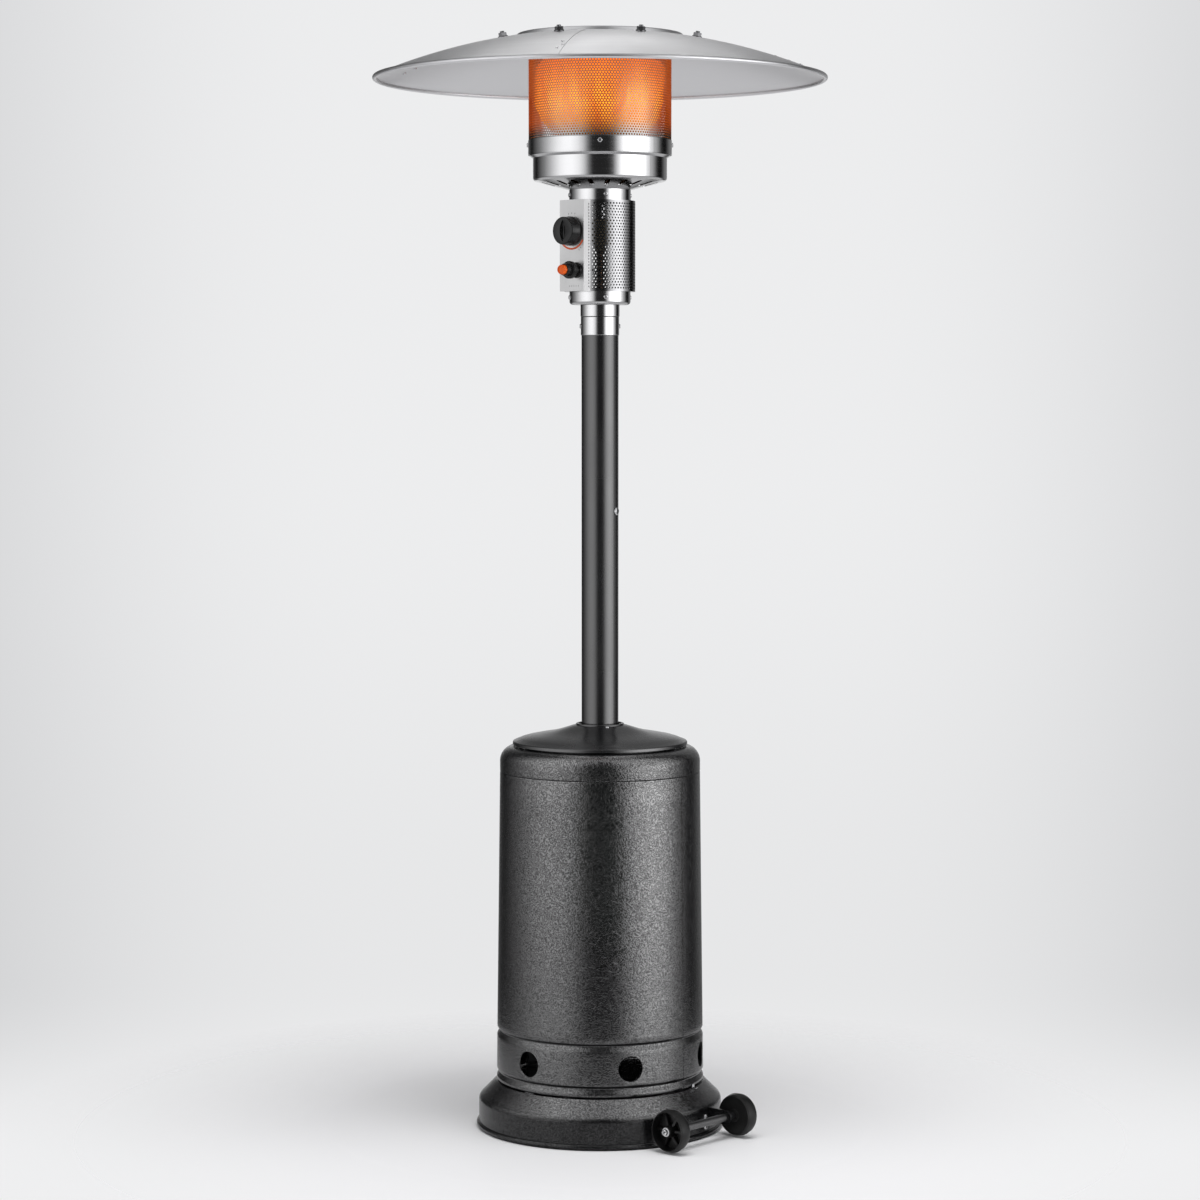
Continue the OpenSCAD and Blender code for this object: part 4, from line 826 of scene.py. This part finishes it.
def perforated(r, t, z0, z1, low, high, pitch, lean, hole, start, end, first, last):
    """A rolled sheet with staggered holes between heights low and high and azimuths first and last.

    Rows are a share of the pitch, lean, apart. The sheet itself runs from z0 to z1 and from start to end.
    Where start equals end it closes on itself."""
    form = Form()
    closed = start == end
    sweep = TURN if closed else math.radians(last - first)
    columns = round(sweep * r / pitch)
    rows = round((high - low) / (pitch * lean))
    step, rise = sweep / columns, (high - low) / rows
    base = math.radians(first)
    index = {}

    def at(key, a, z):
        if key not in index:
            index[key] = len(form.points)
            for radius in (r, r - t):
                form.points.append(Vector((radius * math.sin(a), -radius * math.cos(a), z)))
        return index[key]

    def grid(i, j):
        i = i % (2 * columns) if closed else i
        return at((i, j), base + step * i / 2, low + rise * j)

    def sheet(loop):
        form.faces.append(loop)
        form.faces.append([k + 1 for k in reversed(loop)])

    def wall(a, b):
        form.faces.append([a, b, b + 1, a + 1])

    ring = [(-1, 0), (0, 0), (1, 0), (1, 0.5), (1, 1), (0, 1), (-1, 1), (-1, 0.5)]
    sides = len(ring)
    for j in range(rows):
        shift = j % 2
        count = columns if closed or not shift else columns - 1
        for k in range(count):
            c = 2 * k + 1 + shift
            outer = [grid(c + di, j + dj) for di, dj in ring]
            a, z = base + step * c / 2, low + rise * (j + 0.5)
            inner = []
            for q in range(sides):
                turn = math.radians(-135 + 45 * q)
                inner.append(at((c, j, q), a + hole * math.cos(turn) / r, z + hole * math.sin(turn)))
            for q in range(sides):
                n = (q + 1) % sides
                sheet([outer[q], outer[n], inner[n], inner[q]])
                wall(inner[q], inner[n])
        if shift and not closed:
            for c, d in ((0, 1), (2 * columns, -1)):
                spots = [(c, 0), (c + d, 0), (c + d, 0.5), (c + d, 1), (c, 1), (c, 0.5)]
                loop = [grid(i, j + dj) for i, dj in spots]
                sheet(loop if d > 0 else loop[::-1])
    spots = [(("c", i), base + step * i / 2) for i in range(2 * columns + (0 if closed else 1))]
    if not closed:
        spots = [("start", math.radians(start)), *spots, ("end", math.radians(end))]
    line = {}
    for key, a in spots:
        inside = key not in ("start", "end")
        line[key] = [
            at((key, "low"), a, z0),
            grid(key[1], 0) if inside else at((key, "first"), a, low),
            grid(key[1], rows) if inside else at((key, "last"), a, high),
            at((key, "high"), a, z1),
        ]
    keys = [key for key, _ in spots]
    for i in range(len(keys) if closed else len(keys) - 1):
        here, there = line[keys[i]], line[keys[(i + 1) % len(keys)]]
        sheet([here[0], there[0], there[1], here[1]])
        sheet([here[2], there[2], there[3], here[3]])
        wall(there[0], here[0])
        wall(here[3], there[3])
    if not closed:
        for key, edge, side in (("start", 0, 1), ("end", 2 * columns, -1)):
            outside = line[key]
            halves = [grid(edge, j / 2) for j in range(2 * rows + 1)]
            loop = [outside[1], *halves, outside[2]]
            sheet(loop if side > 0 else loop[::-1])
            for a, b in zip(outside, outside[1:]):
                wall(*((b, a) if side > 0 else (a, b)))
    return form


HOLE_R, STAGGER = 1.95, 0.866
SCREEN_PITCH, SHROUD_PITCH = 5.8, 6.6
SHROUD_INNER = 52

screen = perforated(
    SCREEN_R, SCREEN_T, SCREEN_Z0, SCREEN_Z1, BAND_Z1 + 1.5, SCREEN_Z1 - 3, SCREEN_PITCH, STAGGER, HOLE_R,
    0, 0, 0, 360,
)
screen.make("emitter_mesh", GLOWING, "stand", "glowing_screen", ["emitter_screen"], 50)

panel_edge = math.degrees(math.asin(PANEL_HALF / SHROUD_R))
shroud = perforated(
    SHROUD_R, SHEET_T, SHROUD_Z0, SHROUD_Z1, SHROUD_Z0 + 4, SHROUD_Z1 - 4, SHROUD_PITCH, STAGGER, HOLE_R,
    panel_edge - 2, 360 - panel_edge + 2, panel_edge + 1, 359 - panel_edge,
)
inner = SHROUD_R - SHEET_T
for z in (SHROUD_Z0, SHROUD_Z1 - SHEET_T):
    shroud.lathe([(SHROUD_INNER, z), (inner, z), (inner, z + SHEET_T), (SHROUD_INNER, z + SHEET_T)])
shroud.make("shroud_mesh", PERFORATED, "stand", "stainless", ["control_shroud"], 50)

# Flame inside the emitter: a ragged sheath that widens above the burner

FLAME_TURN = 144
flame_low, flame_high = BAND_Z1 + 2, SCREEN_Z1 - 6
levels = [
    (0.0, 0.3), (0.06, 0.55), (0.14, 0.72), (0.26, 0.82), (0.45, 0.88), (0.7, 0.9), (0.9, 0.89), (0.97, 0.82),
    (1.0, 0.5),
]
waves = [(0.02, 9, 5), (0.012, 17, -8), (0.008, 31, 3)]
rings = []
for u, share in levels:
    ring = []
    for i in range(FLAME_TURN):
        a = TURN * i / FLAME_TURN
        ragged = sum(reach * math.sin(count * a + lean * u) for reach, count, lean in waves)
        r = SCREEN_R * (share + ragged * min(1.0, 4 * u + 0.1))
        ring.append((r * math.sin(a), -r * math.cos(a), flame_low + (flame_high - flame_low) * u))
    rings.append(ring)
Form().stack(rings).make("flame", FLAME, "stand", "glowing_screen", sharp=80)

# Collar on the post, with the seam below its sleeve, and a black ring in the seam's groove as painted shade

SLEEVE_R = 38.4
GROOVE_R = 37.4
TOP_HOLE_R = 31.4
seam = COLLAR_Z1 - 22.7
bore = POST_R + 0.1
collar = [
    (bore, COLLAR_Z0), (SLEEVE_R - 0.4, COLLAR_Z0), (SLEEVE_R, COLLAR_Z0 + 0.5), (SLEEVE_R, seam - 1.7),
    (GROOVE_R, seam - 1.5), (GROOVE_R, seam - 0.1), (COLLAR_R - 0.3, seam), (COLLAR_R, seam + 0.3),
    (COLLAR_R, COLLAR_Z1 - 0.4), (COLLAR_R - 0.4, COLLAR_Z1), (TOP_HOLE_R, COLLAR_Z1),
    (TOP_HOLE_R, COLLAR_Z1 - 1.3), (bore, COLLAR_Z1 - 1.3),
]
Form().lathe(collar, 128).make("collar_sleeve", STAINLESS, "stand", "stainless", ["post_collar"])
# Painted shade: a black ring in the groove below the sleeve stands for the seam's shadow line.
shade_ring_in, shade_ring_out = GROOVE_R - 0.1, GROOVE_R + 0.7
low, high = seam - 1.6, seam - 0.2
shade_ring = [(shade_ring_in, low), (shade_ring_out, low), (shade_ring_out, high), (shade_ring_in, high)]
Form().lathe(shade_ring, 96).make("collar_seam_shade", BLACK_PLASTIC, "stand", "black_plastic")

# Screws, bolts and nuts

SQUARE = (-36, 54, 144, 234)
DIAGONAL = (-47, 43, 133, 223)
CUP_R, NECK_R, BRACKET_R = 61.1, 61.5, 248.1
POST_SCREW_AZIMUTH = 104
BRACKET_AZIMUTHS, BRACKET_GRIP = (79.5, 100.5), 8.7
NUT_ACROSS = 7.36
NUTS, NUT_FIRST, NUT_RING = 8, 20.5, 206

for name, node, ring, azimuths, shank in (
    ("collar_screw_set", "collar_screws", SLEEVE_R, DIAGONAL[::2], 5),
    ("cup_screw_set", "cup_screws", CUP_R, SQUARE, 5),
    ("neck_screw_set", "neck_screws", NECK_R, SQUARE, 5),
    ("band_screw_set", "band_screws", BAND_R, DIAGONAL, 1.2),
):
    form = Form()
    for azimuth in azimuths:
        m = out_of(azimuth, ring, middle(node, Z))
        cross_head(form, m, r=4.6, h=2.4, shank_r=2.0, shank=shank)
    form.make(name, FASTENER, "stand", "fastener_steel", [node])

form = Form()
m = out_of(POST_SCREW_AZIMUTH, POST_R, middle("post_screw", Z))
cross_head(form, m, r=8.0, h=3.4, shank_r=3.0, shank=25)
form.make("post_screw_head", FASTENER, "stand", "fastener_steel", ["post_screw"])

form = Form()
_, low, high = span("bracket_screws")
for azimuth in BRACKET_AZIMUTHS:
    for z in (low + 6, high - 6):
        m = out_of(azimuth, BRACKET_R, z)
        cross_head(form, m, r=6.0, h=3.5, shank_r=2.5, shank=BRACKET_GRIP)
        hex_head(form, m, across=5.2, h=4.0, z0=-BRACKET_GRIP)
form.make("bracket_screw_set", FASTENER, "stand", "fastener_steel", ["bracket_screws"])

form = Form()
off = WHEEL_W / 2 + 0.3
head = [(0, 0), (8.6, 0), (8.6, 1.6), (6.9, 1.6), (6.9, 7.6), (3.3, 7.6), (3.3, 3.2), (0, 3.2)]
head = rounded([(r, off + z) for r, z in head], [0, 0.3, 0.5, 0, 1.8, 0.4, 0, 0])
for side in (-1, 1):
    m = axle_at(side)
    form.lathe(head, 48, m)
    form.lathe([(0, off - 20), (3, off - 20), (3, off + 0.2), (0, off + 0.2)], 20, m)
form.make("axle_bolt_set", FASTENER, "stand", "fastener_steel", ["axle_bolts"])

form = Form()
washer = rounded([(4.1, 0.1), (9.5, 0.1), (9.5, 2.1), (4.1, 2.1)], [0, 0.3, 0.6, 0], 3)
stud = rounded([(0, -9), (4, -9), (4, 12), (0, 12)], [0, 0.5, 0.8, 0], 3)
for k in range(NUTS):
    m = dome_at(NUT_FIRST + 360 / NUTS * k, NUT_RING)
    form.lathe(washer, 40, m)
    hex_head(form, m, NUT_ACROSS, h=7.0, z0=2.1)
    form.lathe(stud, 20, m)
    hex_head(form, m, NUT_ACROSS, h=6.8, z0=-10.2)
form.make("reflector_nut_set", DARK_STEEL, "stand", "fastener_steel", ["reflector_nuts"])

# Wheels

SPOKES = 6
HUB_R = 12
half = WHEEL_W / 2
tread, well = WHEEL_R - 0.4, WHEEL_R - 5.5
tyre = [(well, -half), (tread, -half), (WHEEL_R, 0), (tread, half), (well, half), (WHEEL_R - 4.6, 0)]
tyre = rounded(tyre, [1.0, 3.2, 0, 3.2, 1.0, 0], 5)
web = [(HUB_R, -12), (WHEEL_R - 4.8, -12), (WHEEL_R - 4.8, -8), (HUB_R, -7)]
hub = [(6.05, -half), (13, -half), (13.4, -6), (12.6, 2), (10.4, half), (6.05, half)]
hub = rounded(hub, [0.5, 1.2, 0, 0, 1.4, 0.8])
rib = [(HUB_R, -8.5), (WHEEL_R - 4.9, -8.5), (WHEEL_R - 4.9, -3), (HUB_R, 3)]
upright = Matrix(((1, 0, 0, 0), (0, 0, -1, 0), (0, 1, 0, 0), (0, 0, 0, 1)))
for side, node, body in ((-1, "wheel_1", "near_wheel"), (1, "wheel_2", "far_wheel")):
    form = Form()
    m = axle_at(side)
    form.lathe(tyre, 120, m)
    form.lathe(web, 96, m)
    form.lathe(hub, 64, m)
    for k in range(SPOKES):
        turn = Matrix.Rotation(TURN * k / SPOKES, 4, "Z")
        form.slab(rib, -2.6, 2.6, 0.8, m @ turn @ upright)
    form.make(node + "_moulding", WHEEL_PLASTIC, body, "wheel_plastic", [node])

# Igniter, marks on the panel, and knob

GRIPS, GRIP_R = 20, 12.0
TICK_R = 35.5
DOTS, DOT_PITCH, DOT_R = 28, 6, 1.5
DOT_ROW = 0.955 * SHROUD_R

form = Form()
m = panel_at(IGNITER_X, IGNITER_Z)
barrel = [
    (10.05, 1.7), (10.05, 35.4), (10.6, 36), (12, 36), (12, 25.4), (15.4, 25), (17.2, 23.2), (17.2, 15),
    (12, 14.6), (12, 4.2), (15, 4), (15, 0), (8, 0), (8, -6.5), (0, -6.5), (0, 1.7),
]
radii = [0, 0.3, 0.3, 0.8, 0.4, 0.8, 0.8, 0.9, 0.4, 0.4, 0.9, 0.2, 0, 0, 0, 0]
form.lathe(rounded(barrel[::-1], radii[::-1]), 72, m)
for k in range(GRIPS):
    spin = Matrix.Rotation(TURN * k / GRIPS, 4, "Z") @ Matrix.Translation((GRIP_R, 0, 0))
    form.slab([(-0.6, -0.7), (0.55, -0.45), (0.55, 0.45), (-0.6, 0.7)], 26.2, 34.6, 0.3, m @ spin)
form.make("igniter_barrel", BLACK_PLASTIC, "stand", "black_plastic", ["igniter_collar"])

form = Form()
button = [(0, 9), (10, 9), (10, 45.5), (8.2, 45.5), (7.4, 44.9), (0, 44.7)]
form.lathe(rounded(button, [0, 0.4, 1.6, 0.4, 0.4, 0], 5), 64, m)
form.make("igniter_cap", ORANGE_PLASTIC, "button", "orange_plastic", ["igniter_button"])


def mark(form, x, z, w, h, turn=0.0):
    """A printed bar on the panel."""
    spin = Matrix.Rotation(math.radians(turn), 4, "Z")
    box = [(-w / 2, -h / 2), (w / 2, -h / 2), (w / 2, h / 2), (-w / 2, h / 2)]
    form.slab(box, -0.05, 0.12, 0.03, panel_at(x, z) @ spin)


form = Form()
for turn in (-14, 0, 14):
    a = math.radians(turn)
    mark(form, TICK_R * math.sin(a), KNOB_Z + TICK_R * math.cos(a), 0.9, 3.0, -turn)
for x, z, turn in ((20, -37, 35), (24.5, -33, 45)):
    mark(form, x, KNOB_Z + z, 1.0, 3.4, turn)
for x in (-6, 0, 6, 12, 18):
    mark(form, x, IGNITER_Z - 31, 0.8, 2.6)
# Painted shade: black discs in a row on each side of the panel stand for small holes.
for k in range(DOTS):
    for side in (-1, 1):
        m = out_of(90 * side, PANEL_HALF, SHROUD_Z0 + 9 + DOT_PITCH * k)
        m.translation.y = -DOT_ROW
        form.lathe([(0, -0.05), (DOT_R, -0.05), (DOT_R, 0.1), (0, 0.1)], 12, m)
form.make("panel_marks", BLACK_PRINT_AND_HOLE_SHADE, "stand", "black_plastic")


def softened(node, name, material, body, slot, width, corner=35, weld=0.02, flat=0.3):
    """A copy of a CAD node's mesh with its outer corners rounded.

    Corners turn by more than corner degrees. Points within weld are joined, and faces within flat degrees."""
    mesh = bpy.data.meshes.new(name)
    work = bmesh.new()
    work.from_mesh(nodes[node].data)
    bmesh.ops.remove_doubles(work, verts=work.verts, dist=weld * MM)
    bmesh.ops.dissolve_limit(work, angle_limit=math.radians(flat), verts=work.verts, edges=work.edges)
    outer = [e for e in work.edges if len(e.link_faces) == 2 and e.is_convex]
    outer = [e for e in outer if e.calc_face_angle() > math.radians(corner)]
    rounding = {"segments": 2, "profile": 0.5, "affect": "EDGES", "clamp_overlap": True}
    bmesh.ops.bevel(work, geom=outer, offset=width * MM, **rounding)
    work.to_mesh(mesh)
    work.free()
    mesh.polygons.foreach_set("material_index", [0] * len(mesh.polygons))
    placed(mesh, name, material, body, slot, [node], 40)


softened("knob", "knob_moulding", BLACK_PLASTIC, "knob", "black_plastic", 0.6)

# Camera at the photograph's place

CAMERA_AZIMUTH = 43.0
CAMERA_AWAY = 6.53
CAMERA_HEIGHT = 1.48
CAMERA_DOWN = 3.65
FOCAL_PIXELS = 3258.0
IMAGE_PIXELS = 1200.0
SENSOR = 36.0
FAR = 200.0

azimuth = math.radians(CAMERA_AZIMUTH)
toward = Vector((math.sin(azimuth), -math.cos(azimuth), 0))
right = Vector((-toward.y, toward.x, 0))
camera = bpy.data.objects.new("camera", bpy.data.cameras.new("camera"))
bpy.context.scene.collection.objects.link(camera)
camera.data.sensor_width = SENSOR
camera.data.lens = SENSOR * FOCAL_PIXELS / IMAGE_PIXELS
camera.data.clip_end = FAR
camera.location = toward * CAMERA_AWAY + Vector((0, 0, CAMERA_HEIGHT))
camera.rotation_euler = (math.radians(90 - CAMERA_DOWN), 0, azimuth)
bpy.context.scene.camera = camera

# Studio: soft boxes left and right of a dark gap, a pale sweep behind, an overhead lamp

STUDIO = [  # degrees to the right of the camera, and level
    (-180, 0.25), (-160, 0.11), (-148, 0.04), (-142, 0.008), (-136, 0.025), (-125, 0.13), (-110, 0.33),
    (-95, 0.72), (-82, 1.15), (-72, 1.5), (-60, 1.68), (-48, 1.7), (-36, 1.45), (-27, 0.95), (-19, 0.24),
    (-13, 0.024), (14, 0.024), (22, 0.12), (29, 0.9), (38, 2.0), (52, 2.9), (66, 3.2), (78, 2.8), (86, 1.6),
    (92, 1.0), (102, 0.56), (113, 0.09), (119, 0.008), (131, 0.008), (138, 0.1), (150, 0.25), (180, 0.25),
]
COOL = 1.01
MOST_ABOVE = (0.95, 0.95, 0.96)
CEILING = FLOOR_GLOW = (0.6, 0.6, 0.61)
FOOT_DARK = (0.08, 0.08, 0.08)
SWEEP_MIDDLE, SWEEP_SIDE = (0.845, 0.848, 0.856), (0.675, 0.679, 0.69)
SWEEP_SHADE, SWEEP_FLOOR = (0.0, 0.0, 0.0), (0.86, 0.862, 0.87)

world = bpy.data.worlds.new("studio")
bpy.context.scene.world = world
world.use_nodes = True
world.node_tree.nodes.clear()
sky = Net(world.node_tree)


def along(axis):
    """How far a ray goes along an axis."""
    return sky.vector("DOT_PRODUCT", ray, axis, "Value")


def eased(value, low, high, most=1.0):
    """Rises softly from 0 at low to most at high."""
    return sky.span(value, low, high, 0.0, most, "SMOOTHSTEP")


ray = sky.node("TexCoord", "Generated")
aside, upward = along(right), sky.height_in(ray)
ramp = sky.tree.nodes.new("ShaderNodeValToRGB")
sky.put(ramp, 0, sky.span(sky.math("ARCTAN2", aside, along(toward)), -math.pi, math.pi, 0.0, 1.0))
stops = ramp.color_ramp.elements
while len(stops) < len(STUDIO):
    stops.new(0.5)
for stop, (degrees, level) in zip(stops, STUDIO):
    stop.position = (degrees + 180) / 360
    stop.color = (level, level, level * COOL, 1.0)
calm = sky.vector("MINIMUM", ramp.outputs[0], MOST_ABOVE)
studio = sky.blend(eased(upward, 0.2, 0.36), ramp.outputs[0], calm)
studio = sky.blend(eased(upward, 0.9, 0.96), studio, CEILING)
studio = sky.blend(eased(upward, -0.1, -0.3, 0.9), studio, FOOT_DARK)
studio = sky.blend(eased(upward, -0.28, -0.42), studio, FLOOR_GLOW)
backdrop = sky.blend(eased(sky.math("MULTIPLY", aside, aside), 0.003, 0.045), SWEEP_MIDDLE, SWEEP_SIDE)
backdrop = sky.blend(eased(upward, -0.02, -0.17, 0.06), backdrop, SWEEP_SHADE)
backdrop = sky.blend(eased(upward, -0.175, -0.228), backdrop, SWEEP_FLOOR)
glossy, through = sky.node("LightPath", "Is Glossy Ray"), sky.node("LightPath", "Is Transmission Ray")
mirrored = sky.math("MULTIPLY", sky.math("MAXIMUM", glossy, through), eased(along(-toward), 0.955, 0.99))
seen = sky.math("MAXIMUM", sky.node("LightPath", "Is Camera Ray"), mirrored)
lit = sky.node("Background", Color=studio, Strength=1.0)
shown = sky.node("Background", Color=backdrop, Strength=1.0)
sky.put(sky.tree.nodes.new("ShaderNodeOutputWorld"), 0, sky.node("MixShader", i0=seen, i1=lit, i2=shown))

OVERHEAD_WATTS, HAIR_WATTS = 196.0, 4.4
OVERHEAD_AT = toward * 1.2 + right * 0.3 + Vector((0, 0, 5.2))
OVERHEAD_AIM = Vector((0, 0, 0.4))
HAIR_AT, HAIR_AIM = toward * -1.15 + Vector((0, 0, 3.2)), toward * -1.1499


def area_lamp(name, shape, size, watts, place, aim):
    lamp = bpy.data.objects.new(name, bpy.data.lights.new(name, "AREA"))
    bpy.context.scene.collection.objects.link(lamp)
    lamp.data.shape = shape
    lamp.data.size, lamp.data.size_y = size
    lamp.data.energy = watts
    lamp.location = place
    lamp.rotation_euler = (aim - place).to_track_quat("-Z", "Y").to_euler()
    lamp.visible_camera = False
    return lamp


overhead = area_lamp("overhead", "DISK", (3.2, 3.2), OVERHEAD_WATTS, OVERHEAD_AT, OVERHEAD_AIM)
overhead.visible_glossy = False
area_lamp("hair_light", "RECTANGLE", (0.9, 1.3), HAIR_WATTS, HAIR_AT, HAIR_AIM)

# Floor: it fades into the sweep from the first radius to the second

FLOOR_R, FLOOR_TURN = 1.35, 96
FLOOR_FADE = 0.55, 1.25

floor_mesh = bpy.data.meshes.new("floor")
angles = [TURN * i / FLOOR_TURN for i in range(FLOOR_TURN)]
ring = [(FLOOR_R * math.cos(a), FLOOR_R * math.sin(a), 0) for a in angles]
floor_mesh.from_pydata(ring, [], [list(range(FLOOR_TURN))])
floor = bpy.data.objects.new("floor", floor_mesh)
bpy.context.scene.collection.objects.link(floor)
floor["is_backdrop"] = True
ground = Paint("floor", (0.84, 0.84, 0.85), roughness=0.6)
fade = ground.span(radius_of(ground), *FLOOR_FADE, 0.0, 1.0)
clear = ground.node("BsdfTransparent")
mixed = ground.node("MixShader", i0=fade, i1=ground.shader.outputs[0], i2=clear)
ground.put(ground.tree.nodes["Material Output"], 0, mixed)
floor_mesh.materials.append(ground.material)

bpy.context.scene.view_settings.view_transform = "Standard"

bpy.context.view_layer.update()
low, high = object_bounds()
